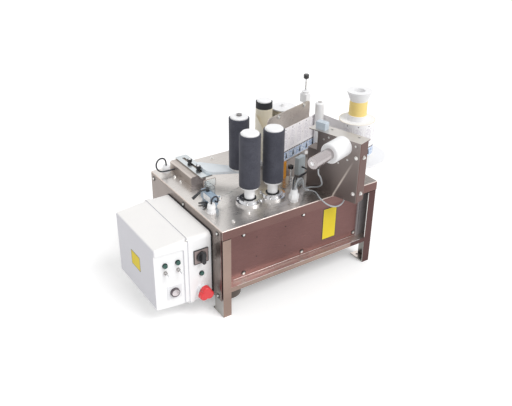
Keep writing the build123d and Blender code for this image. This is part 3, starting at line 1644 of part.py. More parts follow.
# Screws and nuts of the panels, box lid, peel plate and tower
front_screw_x = (front_screw_left - half_length, front_screw_middle, half_length - front_screw_right)
front_screw_z = (rail_top + front_screw_rise, deck_height - front_screw_drop)
end_screw_y = (end_screw_inset - half_depth, 0, half_depth - end_screw_inset)
end_screw_top = deck_height - end_screw_drop
end_screw_low = end_panel_bottom + panel_screw_inset
tower_nut_levels = (deck_height + tower_nut_rise, tower_top - tower_nut_drop)
peel_screw_level = peel_top - peel_screw_drop
with BuildPart() as cover_screws:
    with BuildSketch(front_plane(-panel_y)):
        with Locations(*[(x, z) for x in front_screw_x for z in front_screw_z]):
            Circle(screw_radius)
    extrude(amount=screw_height)
    with BuildSketch(Plane(origin=(0, panel_y, 0), x_dir=(-1, 0, 0), z_dir=(0, 1, 0))):
        with Locations(*[(x, z) for x in front_screw_x for z in front_screw_z]):
            Circle(screw_radius)
    extrude(amount=screw_height)
    end_places = [(y, end_screw_top) for y in end_screw_y]
    end_places += [(end_screw_y[0], end_screw_low), (end_screw_y[2], end_screw_low)]
    with BuildSketch(Plane.YZ.offset(half_length + panel_sheet)):
        with Locations(*end_places):
            Circle(screw_radius)
    extrude(amount=screw_height)
    with BuildSketch(Plane.YZ.offset(-half_length - panel_sheet)):
        with Locations(*end_places):
            Circle(screw_radius)
    extrude(amount=-screw_height)
    notch_floor = box_seam - seam_height
    with BuildSketch(box_plane(notch_floor)):
        with GridLocations(box_depth - notch_depth, box_height - notch_depth, 2, 2):
            Circle(screw_radius / 2)
    extrude(amount=screw_height)
    with BuildSketch(peel_plane):
        with Locations((post_left_s, peel_screw_level), (post_right_s, peel_screw_level)):
            Circle(screw_radius)
    extrude(amount=screw_height)
    tower_plane = Plane(origin=(*head_point(tower_s, 0), 0), x_dir=(head_sin, -head_cos, 0),
                        z_dir=(-head_cos, -head_sin, 0))
    with BuildSketch(tower_plane):
        with Locations(*[(-(tower_front + tower_nut_inset), z) for z in tower_nut_levels]):
            RegularPolygon(tower_nut_radius, 6)
    extrude(amount=tower_nut_height)
save(cover_screws, "cover_screws")

# Cable glands on the deck: nut, body and tapered cap, with the low clip of the grey cables
gland_shares = (0.25, 0.35, 0.4)
glands = (
    (loop_gland_x, loop_gland_y, loop_gland_height),
    (switch_gland_x, switch_gland_y, switch_gland_height),
    (head_gland_x, head_gland_y, head_gland_height),
)
with BuildPart() as cable_glands:
    for x, y, height in glands:
        nut_top = deck_height + height * gland_shares[0]
        body_top = nut_top + height * gland_shares[1]
        with BuildSketch(Plane.XY.offset(deck_height)):
            with Locations((x, y)):
                RegularPolygon(gland_nut_radius, 6)
        extrude(amount=nut_top - deck_height)
        with BuildSketch(Plane.XY.offset(nut_top)):
            with Locations((x, y)):
                Circle(gland_body_radius)
        extrude(amount=body_top - nut_top)
        with BuildSketch(Plane.XY.offset(body_top)):
            with Locations((x, y)):
                Circle(gland_cap_radius)
        extrude(amount=deck_height + height - body_top, taper=gland_taper)
    with BuildSketch(Plane.XY.offset(deck_height)):
        with Locations((clip_x, clip_y)):
            RectangleRounded(clip_length, clip_width, clip_height)
    extrude(amount=clip_height)
save(cable_glands, "cable_glands")


def cord(name, radius, points):
    # Round cable of straight runs and tangent arcs
    corners = [Vector(*point) for point in points]
    runs = [b - a for a, b in zip(corners, corners[1:])]
    radii = []
    for before, after in zip(runs, runs[1:]):
        half_turn = radians(before.get_angle(after) / 2)
        radii.append(bend_share * min(before.length, after.length) / (sin(half_turn) / cos(half_turn)))
    with BuildPart() as cable:
        with BuildLine() as route:
            FilletPolyline(*corners, radius=radii)
        with BuildSketch(Plane(origin=corners[0], z_dir=runs[0])):
            Circle(radius)
        sweep()
    length = sum(edge.length for edge in route.edges())
    section = pi * radius * radius * length
    print(name, "length", round(length, 1), "least bend", round(min(radii), 1),
          "volume share", round(cable.part.volume / section, 3))
    save(cable, name)


loop_level = deck_height + loop_end_rise
cord("loop_cable", loop_cable_radius, (
    (loop_gland_x, loop_gland_y, deck_height + loop_gland_height),
    *loop_route,
    (housing_left, loop_end_y, loop_level),
))
cord("switch_cable", switch_cable_radius, (
    (switch_gland_x, switch_gland_y, deck_height + switch_gland_height),
    *switch_route,
    (switch_route[-1][0], switch_front, switch_route[-1][2]),
))
head_gland_top = deck_height + head_gland_height
sensor_face_t = sensor_t - sensor_depth / 2
socket_level = deck_height + tower_socket_rise
cord("sensor_cable", sensor_cable_radius, (
    (head_gland_x - cable_pitch, head_gland_y, head_gland_top),
    *sensor_route,
    (*head_point(sensor_s, sensor_face_t - sensor_lead), sensor_route[-1][2]),
    (*head_point(sensor_s, sensor_face_t), sensor_route[-1][2]),
))
cord("motor_cable", grey_cable_radius, (
    (head_gland_x + cable_pitch, head_gland_y, head_gland_top),
    *motor_route,
    (*plug_place, plug_bottom - plug_lead),
    (*plug_place, plug_bottom),
))
cord("tower_cable", grey_cable_radius, (
    (head_gland_x, head_gland_y - cable_pitch, head_gland_top),
    *tower_route,
    (*tower_socket_place, socket_level - tower_lead),
    (*tower_socket_place, socket_level),
))
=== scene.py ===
import math
import random

import bpy
from mathutils import Matrix, Vector


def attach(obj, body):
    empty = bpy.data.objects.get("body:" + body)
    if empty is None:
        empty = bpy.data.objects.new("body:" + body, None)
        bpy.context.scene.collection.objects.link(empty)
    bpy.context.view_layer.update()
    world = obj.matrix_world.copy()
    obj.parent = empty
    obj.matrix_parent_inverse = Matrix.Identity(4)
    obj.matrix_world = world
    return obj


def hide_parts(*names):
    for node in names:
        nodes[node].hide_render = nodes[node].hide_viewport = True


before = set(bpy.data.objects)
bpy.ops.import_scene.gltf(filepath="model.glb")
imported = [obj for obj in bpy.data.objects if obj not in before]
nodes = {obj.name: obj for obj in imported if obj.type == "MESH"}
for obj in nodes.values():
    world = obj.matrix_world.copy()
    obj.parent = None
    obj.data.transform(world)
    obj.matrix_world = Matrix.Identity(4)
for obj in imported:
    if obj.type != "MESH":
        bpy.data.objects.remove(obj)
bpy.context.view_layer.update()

up = Vector((0, 0, 1))
front = Vector((0, -1, 0))
rear = Vector((0, 1, 0))
left = Vector((-1, 0, 0))
right = Vector((1, 0, 0))

# The label head stands at an angle on the deck: s runs along the web, t behind it
head = {"x": -44.0, "y": -83.0, "turn": 17.0}
headTurn = math.radians(head["turn"])
along = Vector((math.cos(headTurn), math.sin(headTurn), 0))
behind = Vector((-math.sin(headTurn), math.cos(headTurn), 0))


def mm(*values):
    return Vector([value / 1000 for value in values])


def headPoint(s, t, z):
    return mm(head["x"], head["y"], z) + along * s / 1000 + behind * t / 1000


def at(*place):
    return Matrix.Translation(mm(*place))


# Turn that brings X, Y and Z to the three given directions
def looking(x, y, z):
    return Matrix((x, y, z)).transposed().to_4x4()


# Camera and cables
camera = {"place": (-1.1095, -1.6056, 1.3050), "azimuth": -0.59342, "elevation": 0.51420, "roll": 0.014216,
          "lens": 47.72, "sensor": 36.0}


def makeCamera():
    lens = bpy.data.cameras.new("mainCamera")
    lens.lens, lens.sensor_width = camera["lens"], camera["sensor"]
    lens.clip_start, lens.clip_end = 0.05, 60
    holder = bpy.data.objects.new("mainCamera", lens)
    bpy.context.scene.collection.objects.link(holder)
    pan, roll = Matrix.Rotation(camera["azimuth"], 4, "Z"), Matrix.Rotation(camera["roll"], 4, "Z")
    tilt = Matrix.Rotation(math.pi / 2 - camera["elevation"], 4, "X")
    holder.matrix_world = Matrix.Translation(camera["place"]) @ pan @ tilt @ roll
    bpy.context.scene.camera = holder


makeCamera()
print("camera placed")

# What the two kinds of cable share, and for each cable its CAD node, length in metres and route
cableKinds = {"black": {"radius": 2.5, "slot": "black_cable", "material": "blackCable"},
              "grey": {"radius": 2.2, "slot": "grey_cable", "material": "greyCable"}}
cables = {
    "loopCable": {"node": "loop_cable", "kind": "black", "length": 0.1455, "points": [
        (-250.8, 189.7, 328.0), (-250.8, 189.7, 346.3), (-262.5, 188.0, 358.0), (-279.1, 185.0, 358.0),
        (-290.8, 181.0, 346.3), (-290.8, 177.0, 329.7), (-279.1, 174.0, 318.0), (-257.0, 171.0, 317.5),
        (-232.0, 171.0, 317.5)]},
    "switchCable": {"node": "switch_cable", "kind": "black", "length": 0.0724, "points": [
        (-260.9, -116.5, 334.0), (-260.9, -116.5, 347.0), (-252.0, -116.5, 355.0), (-241.0, -114.5, 352.0),
        (-236.0, -112.0, 341.0), (-236.0, -110.0, 327.0), (-236.0, -96.0, 327.0)]},
    "sensorCable": {"node": "sensor_cable", "kind": "black", "length": 0.2381, "points": [
        (-21.0, -188.0, 346.0), (-21.0, -188.0, 362.0), (-15.0, -181.0, 374.0), (-1.0, -168.0, 376.0),
        (14.0, -154.0, 362.0), (24.0, -145.0, 347.0), (38.0, -130.0, 333.0), (56.0, -112.0, 326.0),
        (76.0, -100.0, 327.0), (96.0, -97.0, 329.0), (112.0, -88.0, 330.0), (117.6, -71.2, 330.0),
        (112.9, -55.9, 330.0)]},
    "motorCable": {"node": "motor_cable", "kind": "grey", "length": 0.3666, "points": [
        (-11.0, -188.0, 346.0), (-11.0, -188.0, 362.0), (2.0, -180.0, 373.0), (20.0, -170.0, 362.0),
        (34.0, -161.0, 340.0), (46.0, -154.0, 320.0), (61.0, -148.0, 309.0), (74.0, -150.0, 309.5),
        (83.0, -161.0, 312.0), (85.0, -178.0, 320.0), (81.0, -195.0, 333.0), (70.0, -212.0, 350.0),
        (49.0, -233.0, 374.0), (30.0, -252.0, 399.0), (10.0, -270.0, 418.0), (-5.0, -280.2, 433.5),
        (-5.0, -280.2, 450.5)]},
    "towerCable": {"node": "tower_cable", "kind": "grey", "length": 0.3245, "points": [
        (-16.0, -193.0, 346.0), (-16.0, -193.0, 360.0), (-9.0, -192.0, 373.0), (4.0, -188.5, 377.0),
        (17.0, -183.0, 370.0), (27.0, -176.0, 350.0), (34.0, -169.0, 324.0), (48.0, -163.0, 311.0),
        (61.0, -164.5, 307.5), (70.0, -174.0, 307.5), (70.0, -188.0, 307.5), (64.0, -203.0, 308.0),
        (57.0, -218.0, 309.5), (57.0, -234.0, 306.0), (65.0, -247.0, 296.0), (84.0, -255.0, 286.0),
        (104.0, -257.5, 283.5), (119.5, -257.2, 290.0), (125.9, -256.9, 304.0), (125.9, -256.9, 322.0)]},
}


def makeCable(name, facts):
    kind = cableKinds[facts["kind"]]
    curve = bpy.data.curves.new(name, "CURVE")
    curve.dimensions = "3D"
    curve.resolution_u = 12
    curve.bevel_depth = kind["radius"] / 1000
    curve.bevel_resolution = 5
    curve.use_fill_caps = True
    line = curve.splines.new("NURBS")
    line.points.add(len(facts["points"]) - 1)
    for point, place in zip(line.points, facts["points"]):
        point.co = (*mm(*place), 1)
    line.order_u = 3
    line.use_endpoint_u = True
    cable = bpy.data.objects.new(name, curve)
    bpy.context.scene.collection.objects.link(cable)
    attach(cable, "machine")
    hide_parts(facts["node"])
    return cable


cableObjects = {name: makeCable(name, facts) for name, facts in cables.items()}
print("cables laid")


# Material tools. A Signal is a value that a shader tree works out, and the usual signs make its Math nodes
class Signal:
    def __init__(self, socket):
        self.socket = socket


for sign, operation in {
        "__add__": "ADD", "__sub__": "SUBTRACT", "__mul__": "MULTIPLY", "__truediv__": "DIVIDE",
        "__mod__": "FLOORED_MODULO", "__gt__": "GREATER_THAN", "__lt__": "LESS_THAN", "__abs__": "ABSOLUTE",
        "__floor__": "FLOOR"}.items():
    setattr(Signal, sign, lambda self, *other, operation=operation: calc(operation, self, *other))


def wire(source, target):
    if isinstance(source, Signal):
        target.id_data.links.new(source.socket, target)
    elif isinstance(source, tuple) and len(source) == 3:
        target.default_value = (*source, 1)
    else:
        target.default_value = source


def paint(node, values):
    for label, value in values.items():
        wire(value, node.inputs[label])


# A new node in the tree of its first Signal; order gives the sockets that the values go to
def made(kind, values, order=range(9), **settings):
    tree = next(value.socket.id_data for value in values if isinstance(value, Signal))
    node = tree.nodes.new(kind)
    for label, setting in settings.items():
        setattr(node, label, setting)
    for value, label in zip(values, order):
        wire(value, node.inputs[label])
    return node


def calc(operation, *values):
    return Signal(made("ShaderNodeMath", values, operation=operation).outputs[0])


def between(value, low, high):
    return (value > low) * (value < high)


def distance(x, y):
    return calc("SQRT", x * x + y * y)


def blend(mask, first, second):
    return Signal(made("ShaderNodeMix", (mask, first, second), (0, 6, 7), data_type="RGBA").outputs[2])


def toned(color, value):
    return Signal(made("ShaderNodeHueSaturation", (color, value), ("Color", "Value")).outputs[0])


def noise(vector, scale, detail=3.0, roughness=0.55):
    order = ("Vector", "Scale", "Detail", "Roughness")
    return Signal(made("ShaderNodeTexNoise", (vector, scale, detail, roughness), order).outputs["Fac"])


def cells(vector, scale):
    return Signal(made("ShaderNodeTexVoronoi", (vector, scale), ("Vector", "Scale")).outputs["Distance"])


def remap(value, low, high, outLow=0.0, outHigh=1.0):
    return Signal(made("ShaderNodeMapRange", (value, low, high, outLow, outHigh)).outputs[0])


# Noise stays mostly between 0.3 and 0.7, and this spreads that over the two values
def swing(cloud, low, high):
    return remap(cloud, 0.3, 0.7, low, high)


def bump(height, strength, depth):
    node = made("ShaderNodeBump", (strength, depth, height), ("Strength", "Distance", "Height"))
    return Signal(node.outputs["Normal"])


def texture(tree, kind="Object"):
    return Signal(tree.nodes.new("ShaderNodeTexCoord").outputs[kind])


def axes(vector):
    return [Signal(output) for output in made("ShaderNodeSeparateXYZ", (vector,)).outputs]


def vectorOf(*values):
    return Signal(made("ShaderNodeCombineXYZ", values).outputs[0])


def stretched(tree, scale):
    node = made("ShaderNodeMapping", (texture(tree),))
    node.inputs["Scale"].default_value = scale
    return Signal(node.outputs["Vector"])


# Distance from the head's origin along one of its two directions, in metres
def headReach(x, y, way):
    return (x - head["x"] / 1000) * way.x + (y - head["y"] / 1000) * way.y


materials = {}


def freshMaterial(name):
    material = bpy.data.materials.new(name)
    material.use_nodes = True
    tree = material.node_tree
    tree.nodes.clear()
    surface = tree.nodes.new("ShaderNodeOutputMaterial")
    shader = tree.nodes.new("ShaderNodeBsdfPrincipled")
    tree.links.new(shader.outputs["BSDF"], surface.inputs["Surface"])
    materials[name] = material
    return tree, shader


def newGroup(name, colors, floats, outputs=("Color", "Roughness", "Normal")):
    group = bpy.data.node_groups.new(name, "ShaderNodeTree")
    kinds = {"Color": "NodeSocketColor", "Roughness": "NodeSocketFloat", "Normal": "NodeSocketVector"}
    for label in colors + floats:
        kind = kinds["Color" if label in colors else "Roughness"]
        group.interface.new_socket(name=label, in_out="INPUT", socket_type=kind)
    for label in outputs:
        group.interface.new_socket(name=label, in_out="OUTPUT", socket_type=kinds[label])
    start, end = group.nodes.new("NodeGroupInput"), group.nodes.new("NodeGroupOutput")
    return group, {socket.name: Signal(socket) for socket in start.outputs}, end


def place(tree, group, **values):
    node = tree.nodes.new("ShaderNodeGroup")
    node.node_tree = group
    paint(node, values)
    return {socket.name: Signal(socket) for socket in node.outputs}


def dress(shader, color, roughness, normal, extra):
    paint(shader, {"Base Color": color, "Roughness": roughness, "Normal": normal, **extra})


# The shader takes colour, roughness and normal from a group, and the extra values as they are
def cover(tree, shader, group, extra, **values):
    given = place(tree, group, **values)
    dress(shader, given["Color"], given["Roughness"], given["Normal"], extra)


# Fine moulded or cast grain with a little soiling
def makeGrainGroup():
    group, given, end = newGroup("fineGrain", ("Color", "Soiled"), ("Soiling", "Roughness", "Scale", "Depth"))
    broad = noise(texture(group), 14.0, 5.0, 0.6)
    fine = noise(texture(group), given["Scale"], 2.0)
    mask = remap(broad, 0.42, 0.75) * given["Soiling"]
    paint(end, {"Color": blend(mask, given["Color"], given["Soiled"]),
                "Roughness": given["Roughness"] + swing(broad, -0.05, 0.07),
                "Normal": bump(fine, given["Depth"], 0.0004)})
    return group


# Rolled or brushed sheet: long fine streaks, with painted light and shade by the way a face looks: tones for
# tops, fronts and ends, and a painted highlight on the folds
def makeSheetGroup():
    group, given, end = newGroup("rolledSheet", ("Top", "Front", "End", "Fold"), ("Roughness", "Depth"))
    x, y, z = axes(texture(group, "Normal"))
    streaks = noise(stretched(group, (6, 260, 260)), 3.0, 4.0, 0.6)
    cloud = noise(texture(group), 5.0, 4.0, 0.5)
    # Painted light and shade: each face takes the tone given for the way it looks
    tone = blend(remap(abs(x), 0.6, 0.95), given["Front"], given["End"])
    tone = blend(remap(z, 0.15, 0.8), tone, given["Top"])
    # Painted highlight on the folds, the faces between the top and the sides
    tone = blend(between(abs(z), 0.22, 0.93), tone, given["Fold"])
    tone = toned(tone, swing(cloud, 0.86, 1.12))
    paint(end, {"Color": toned(tone, swing(streaks, 0.95, 1.05)),
                "Roughness": given["Roughness"] + swing(streaks, -0.05, 0.06),
                "Normal": bump(streaks, given["Depth"], 0.0003)})
    return group


# Turned metal: rings round the upright, small sparkle
def makeTurnedGroup():
    group, given, end = newGroup("turnedMetal", ("Color",), ("Roughness", "Depth"))
    rings = noise(stretched(group, (8, 8, 1400)), 1.0, 2.0)
    cloud = noise(texture(group), 40.0, 4.0)
    paint(end, {"Color": toned(given["Color"], swing(cloud, 0.88, 1.08)),
                "Roughness": given["Roughness"] + swing(cloud, -0.05, 0.08),
                "Normal": bump(rings, given["Depth"], 0.0002)})
    return group


# Layout of one label in millimetres: U along the web and V up it
layout = {"pitch": 36.0, "wordStep": 2.6, "rowStep": 3.4, "rowHeight": 1.5, "inkShare": 0.78,
          "textU": (6.5, 29.5), "textV": (42.0, 97.0), "frameU": (3.0, 33.0), "insideU": (3.7, 32.3),
          "frameV": (38.0, 101.0), "pictureV": (1.5, 29.0), "figureU": 24.0, "figureV": (7.0, 25.0),
          "figureHalf": (4.4, 1.4), "dashV": (29.4, 33.4), "dashStep": 9.0, "dashLength": 7.4,
          "dotU": (15.5, 19.0), "dotV": (102.5, 105.5)}


def makePrintGroup():
    group, given, end = newGroup("labelPrint", ("Paper",), ("U", "V"), ("Color",))
    u, v = given["U"] % layout["pitch"], given["V"]
    spot = vectorOf(math.floor(u / layout["wordStep"]), math.floor(v / layout["rowStep"]))
    chance = Signal(made("ShaderNodeTexWhiteNoise", (spot,), ("Vector",)).outputs["Value"])
    text = between(v, *layout["textV"]) * between(u, *layout["textU"])
    lines = (v % layout["rowStep"] < layout["rowHeight"]) * text * (chance < layout["inkShare"])
    paper = blend(lines, given["Paper"], (0.62, 0.59, 0.64))
    frameLine = between(u, *layout["frameU"]) - between(u, *layout["insideU"])
    paper = blend(frameLine * between(v, *layout["frameV"]), paper, (0.60, 0.55, 0.56))
    sky = noise(vectorOf(u * 0.09, v * 0.16, math.floor(given["U"] / layout["pitch"])), 1.4, 3.0)
    blue = blend(remap(sky, 0.35, 0.65), (0.30, 0.40, 0.62), (0.80, 0.88, 0.97))
    half = remap(v, *layout["figureV"], *layout["figureHalf"])
    figure = between(v, *layout["figureV"]) * (abs(u - layout["figureU"]) < half)
    blue = blend(figure, blue, (0.01, 0.012, 0.02))
    dashes = between(v, *layout["dashV"]) * (u % layout["dashStep"] < layout["dashLength"])
    dot = between(v, *layout["dotV"]) * between(u, *layout["dotU"])
    color = blend(between(v, *layout["pictureV"]), paper, blue)
    color = blend(dashes, color, (0.02, 0.02, 0.02))
    paint(end, {"Color": blend(dot, color, (0.03, 0.03, 0.03))})
    return group


grainGroup = makeGrainGroup()
sheetGroup = makeSheetGroup()
turnedGroup = makeTurnedGroup()
printGroup = makePrintGroup()
print("shader groups built")

# Colour, colour where soiled, amount of soiling, roughness, scale and depth of the grain, clear coat
plastics = {
    "whitePlastic": ((0.90, 0.90, 0.91), (0.70, 0.70, 0.73), 0.2, 0.32, 1200.0, 0.06, 0.2),
    "whiteNylon": ((0.91, 0.91, 0.92), (0.72, 0.72, 0.74), 0.15, 0.38, 700.0, 0.05, 0.0),
    "blackRubber": ((0.022, 0.022, 0.026), (0.06, 0.06, 0.065), 0.5, 0.68, 900.0, 0.25, 0.0),
    "blackPlastic": ((0.018, 0.018, 0.021), (0.05, 0.05, 0.055), 0.35, 0.38, 1100.0, 0.12, 0.15),
    "yellowPlastic": ((0.95, 0.74, 0.27), (0.86, 0.60, 0.16), 0.3, 0.45, 500.0, 0.12, 0.0),
    "amberPlastic": ((0.78, 0.33, 0.035), (0.50, 0.20, 0.03), 0.3, 0.35, 800.0, 0.08, 0.2),
    "blueGreyPlastic": ((0.30, 0.39, 0.49), (0.20, 0.27, 0.36), 0.3, 0.34, 900.0, 0.08, 0.25),
    "redPlastic": ((0.76, 0.040, 0.048), (0.55, 0.025, 0.03), 0.3, 0.33, 900.0, 0.06, 0.3),
    "greyCable": ((0.42, 0.44, 0.46), (0.25, 0.27, 0.29), 0.3, 0.45, 900.0, 0.08, 0.0),
    "blackCable": ((0.016, 0.016, 0.024), (0.05, 0.05, 0.06), 0.3, 0.42, 900.0, 0.1, 0.1),
    "motorPaint": ((0.11, 0.085, 0.07), (0.20, 0.16, 0.13), 0.5, 0.5, 700.0, 0.2, 0.0),
    "guardRim": ((0.42, 0.33, 0.28), (0.55, 0.45, 0.40), 0.4, 0.2, 900.0, 0.04, 0.3),
    "linerPaper": ((0.80, 0.74, 0.60), (0.68, 0.62, 0.49), 0.4, 0.55, 1500.0, 0.08, 0.0),
    "yellowSticker": ((0.80, 0.62, 0.02), (0.66, 0.50, 0.02), 0.25, 0.6, 600.0, 0.04, 0.0),
}
for name, (color, soiled, soiling, rough, scale, depth, coat) in plastics.items():
    tree, shader = freshMaterial(name)
    cover(tree, shader, grainGroup, {"Coat Weight": coat, "Coat Roughness": 0.15}, Color=color, Soiled=soiled,
          Soiling=soiling, Roughness=rough, Scale=scale, Depth=depth)

# "pale" is painted light on a sheet's top to the left of the head and "shaded" painted shade on it behind the
# head,
# "far" painted shade and "band" a painted reflection on its front at the right end. The zones give where they
# lie
zones = {"pale": (-0.20, 0.12), "shadedX": (0.00, 0.05), "shadedY": (-0.13, -0.07), "far": 0.20,
         "gapShadowZ": (0.2705, 0.2745), "band": (0.234, 0.242), "groove": (0.2465, 0.2490)}
# Tones of each steel part's tops, fronts, ends and folds: painted light, shade and reflection for the way its
# faces lie, the folds a painted highlight, each part with its own painted tones
sheets = {
    "deckSteel": {"top": (0.52, 0.48, 0.45), "front": (0.20, 0.115, 0.105), "end": (0.42, 0.365, 0.335),
                  "fold": (0.78, 0.68, 0.63), "pale": (0.78, 0.745, 0.715), "shaded": (0.25, 0.215, 0.20),
                  "rough": 0.30, "depth": 0.05},
    "panelSteel": {"top": (0.52, 0.48, 0.43), "front": (0.185, 0.100, 0.094), "end": (0.27, 0.23, 0.21),
                   "fold": (0.78, 0.68, 0.63), "band": (0.31, 0.285, 0.29), "rough": 0.30, "depth": 0.05},
    "housingSteel": {"top": (0.60, 0.54, 0.50), "front": (0.38, 0.345, 0.345), "end": (0.44, 0.385, 0.35),
                     "fold": (0.74, 0.67, 0.62), "rough": 0.36, "depth": 0.015},
    "legSteel": {"top": (0.80, 0.72, 0.67), "front": (0.36, 0.265, 0.225), "end": (0.44, 0.43, 0.41),
                 "fold": (0.78, 0.68, 0.63), "far": (0.100, 0.054, 0.052), "rough": 0.30, "depth": 0.05},
    "stainlessBright": {"top": (0.55, 0.51, 0.47), "front": (0.64, 0.58, 0.53), "end": (0.40, 0.35, 0.32),
                        "fold": (0.70, 0.62, 0.57), "rough": 0.30, "depth": 0.02},
    "slideSteel": {"top": (0.72, 0.76, 0.78), "front": (0.40, 0.40, 0.39), "end": (0.40, 0.39, 0.37),
                   "fold": (0.75, 0.75, 0.74), "rough": 0.24, "depth": 0.04},
}
for name, facts in sheets.items():
    tree, shader = freshMaterial(name)
    x, y, z = axes(texture(tree))
    top, face, metallic = facts["top"], facts["front"], 1.0
    # Painted light on the deck's top to the left of the head and painted shade on it behind the head
    if "pale" in facts:
        top = blend(remap(x, *zones["pale"], 1.0, 0.0), top, facts["pale"])
        top = blend(remap(x, *zones["shadedX"]) * remap(y, *zones["shadedY"]), top, facts["shaded"])
    if "far" in facts:
        # Painted shade on the fronts of the right legs
        face = blend(x > zones["far"], face, facts["far"])
        # Painted shadow line on the legs' fronts where they meet the skirt
        face = blend(between(z, *zones["gapShadowZ"]), face, (0.012, 0.008, 0.008))
    if "band" in facts:
        # Painted reflection band at the right end of the front panel, made less metallic, with a thin dark
        # line painted across it
        band = remap(x, *zones["band"])
        face = blend(band, face, facts["band"])
        face = blend(between(x, *zones["groove"]), face, (0.12, 0.10, 0.10))
        metallic = remap(band, 0.0, 1.0, 1.0, 0.15)
    cover(tree, shader, sheetGroup, {"Metallic": metallic}, Top=top, Front=face, End=facts["end"],
          Fold=facts["fold"], Roughness=facts["rough"], Depth=facts["depth"])

metals = {
    "chrome": {"Color": (0.80, 0.80, 0.81), "Roughness": 0.14, "Depth": 0.03},
    "aluminium": {"Color": (0.62, 0.60, 0.59), "Roughness": 0.27, "Depth": 0.15},
    "zinc": {"Color": (0.86, 0.85, 0.83), "Roughness": 0.30, "Depth": 0.04},
}
for name, facts in metals.items():
    tree, shader = freshMaterial(name)
    cover(tree, shader, turnedGroup, {"Metallic": 1.0}, **facts)


# Closed-cell foam: dark blue-grey skin with small pores
def makeFoam():
    tree, shader = freshMaterial("foamRubber")
    coords = texture(tree)
    skin = remap(noise(coords, 24.0, 6.0, 0.65), 0.35, 0.7)
    pit = remap(cells(coords, 420.0), 0.12, 0.42)
    tone = blend(skin, (0.040, 0.042, 0.060), (0.068, 0.070, 0.092))
    dress(shader, blend(pit, (0.022, 0.022, 0.032), tone), 0.82,
          bump(pit + noise(coords, 700.0, 2.0) * 0.5, 0.5, 0.0005), {"Sheen Weight": 0.15})


# Printed labels on the straight web and on the roll: height where the print starts, print round the roll
# in millimetres for each radian, radius of the bare core and density of the windings
printBottom = 0.370
roll = {"turnLength": 57.5, "core": 0.0560, "windings": 9000.0}


def makeWebPrint():
    tree, shader = freshMaterial("labelPrintWeb")
    x, y, z = axes(texture(tree))
    ink = place(tree, printGroup, U=headReach(x, y, along) * 1000.0, V=(z - printBottom) * 1000.0,
                Paper=(0.97, 0.94, 0.96))
    fibre = noise(texture(tree), 1500.0, 2.0)
    dress(shader, ink["Color"], swing(fibre, 0.28, 0.42), bump(fibre, 0.05, 0.0002), {"Coat Weight": 0.15})


def makeRollPrint():
    tree, shader = freshMaterial("labelPrintRoll")
    x, y, z = axes(texture(tree))
    x, y = x - reelAxis.x, y - reelAxis.y
    ink = place(tree, printGroup, U=calc("ARCTAN2", y, x) * roll["turnLength"],
                V=(z - printBottom) * 1000.0, Paper=(0.95, 0.94, 0.95))
    reach = distance(x, y)
    rings = calc("SINE", reach * roll["windings"])
    windings = blend(remap(rings, -1.0, 1.0), (0.88, 0.87, 0.86), (0.94, 0.94, 0.94))
    windings = blend(reach > roll["core"], windings, (0.84, 0.70, 0.42))
    flat = abs(axes(texture(tree, "Normal"))[2]) > 0.7
    dress(shader, blend(flat, ink["Color"], windings), 0.4, bump(rings * flat, 0.15, 0.0002), {})


# Wound edge of the spent liner, seen from above, about the rewinder's axis
def makeWound():
    tree, shader = freshMaterial("woundLiner")
    x, y, z = axes(texture(tree))
    rings = calc("SINE", distance(x - rewindAxis.x, y - rewindAxis.y) * 7000.0)
    cloud = noise(texture(tree), 30.0, 4.0)
    mask = remap(rings, -1.0, 1.0, 0.2, 1.0) * swing(cloud, 0.6, 1.0)
    dress(shader, blend(mask, (0.60, 0.52, 0.38), (0.80, 0.73, 0.58)), 0.55, bump(rings, 0.12, 0.0002), {})


def makeClear():
    tree, shader = freshMaterial("clearPlastic")
    scratches = noise(stretched(tree, (1, 1, 14)), 60.0, 5.0)
    paint(shader, {"Base Color": (0.90, 0.95, 0.97), "Roughness": remap(scratches, 0.4, 0.7, 0.04, 0.16),
                   "IOR": 1.35, "Transmission Weight": 0.9})


def makeLens():
    tree, shader = freshMaterial("greenLens")
    ribs = cells(texture(tree), 900.0)
    tone = blend(ribs, (0.002, 0.045, 0.034), (0.006, 0.105, 0.078))
    dress(shader, tone, 0.18, bump(ribs, 0.3, 0.0004), {"Coat Weight": 0.5})


# Two looks on one solid: level between them, tones above and below it, roughness, metallic above and below
parted = {
    "pressureArm": (0.5205, (0.20, 0.19, 0.19), (0.84, 0.90, 0.95), 0.34, 0.0, 0.0),
    "tubeSteel": (0.4594, (0.51, 0.47, 0.475), (0.02, 0.02, 0.022), 0.2, 1.0, 0.0),
    "sensorPlastic": (0.49, (0.52, 0.59, 0.66), (0.56, 0.62, 0.65), 0.30, 0.0, 0.0),
    "clampStud": (0.3440, (0.018, 0.018, 0.021), (0.74, 0.74, 0.75), 0.22, 0.0, 1.0),
    "adjusterRod": (0.5735, (0.018, 0.018, 0.021), (0.80, 0.80, 0.81), 0.25, 0.0, 1.0),
}


def makeParted(name, level, above, below, rough, metalAbove, metalBelow):
    tree, shader = freshMaterial(name)
    mask = axes(texture(tree))[2] > level
    extra = {"Metallic": remap(mask, 0.0, 1.0, metalBelow, metalAbove), "Coat Weight": 0.2}
    cover(tree, shader, grainGroup, extra, Color=blend(mask, below, above), Soiled=(0.25, 0.24, 0.23),
          Soiling=0.15, Roughness=rough, Scale=900.0, Depth=0.06)


# Bright sheet of the tower, with painted light and shade: painted paler above and browner below, one slanting
# painted sheen line on its left face, painted shade on its front faces and painted light on its top
tower = {"height": (0.300, 0.490), "depth": (-0.261, -0.110), "lidLevel": 0.495, "sheenFade": (0.36, 0.44),
         "sheenWidth": 0.010, "sheenSlope": 2.15, "sheenT": 0.174, "sheenZ": 0.297}


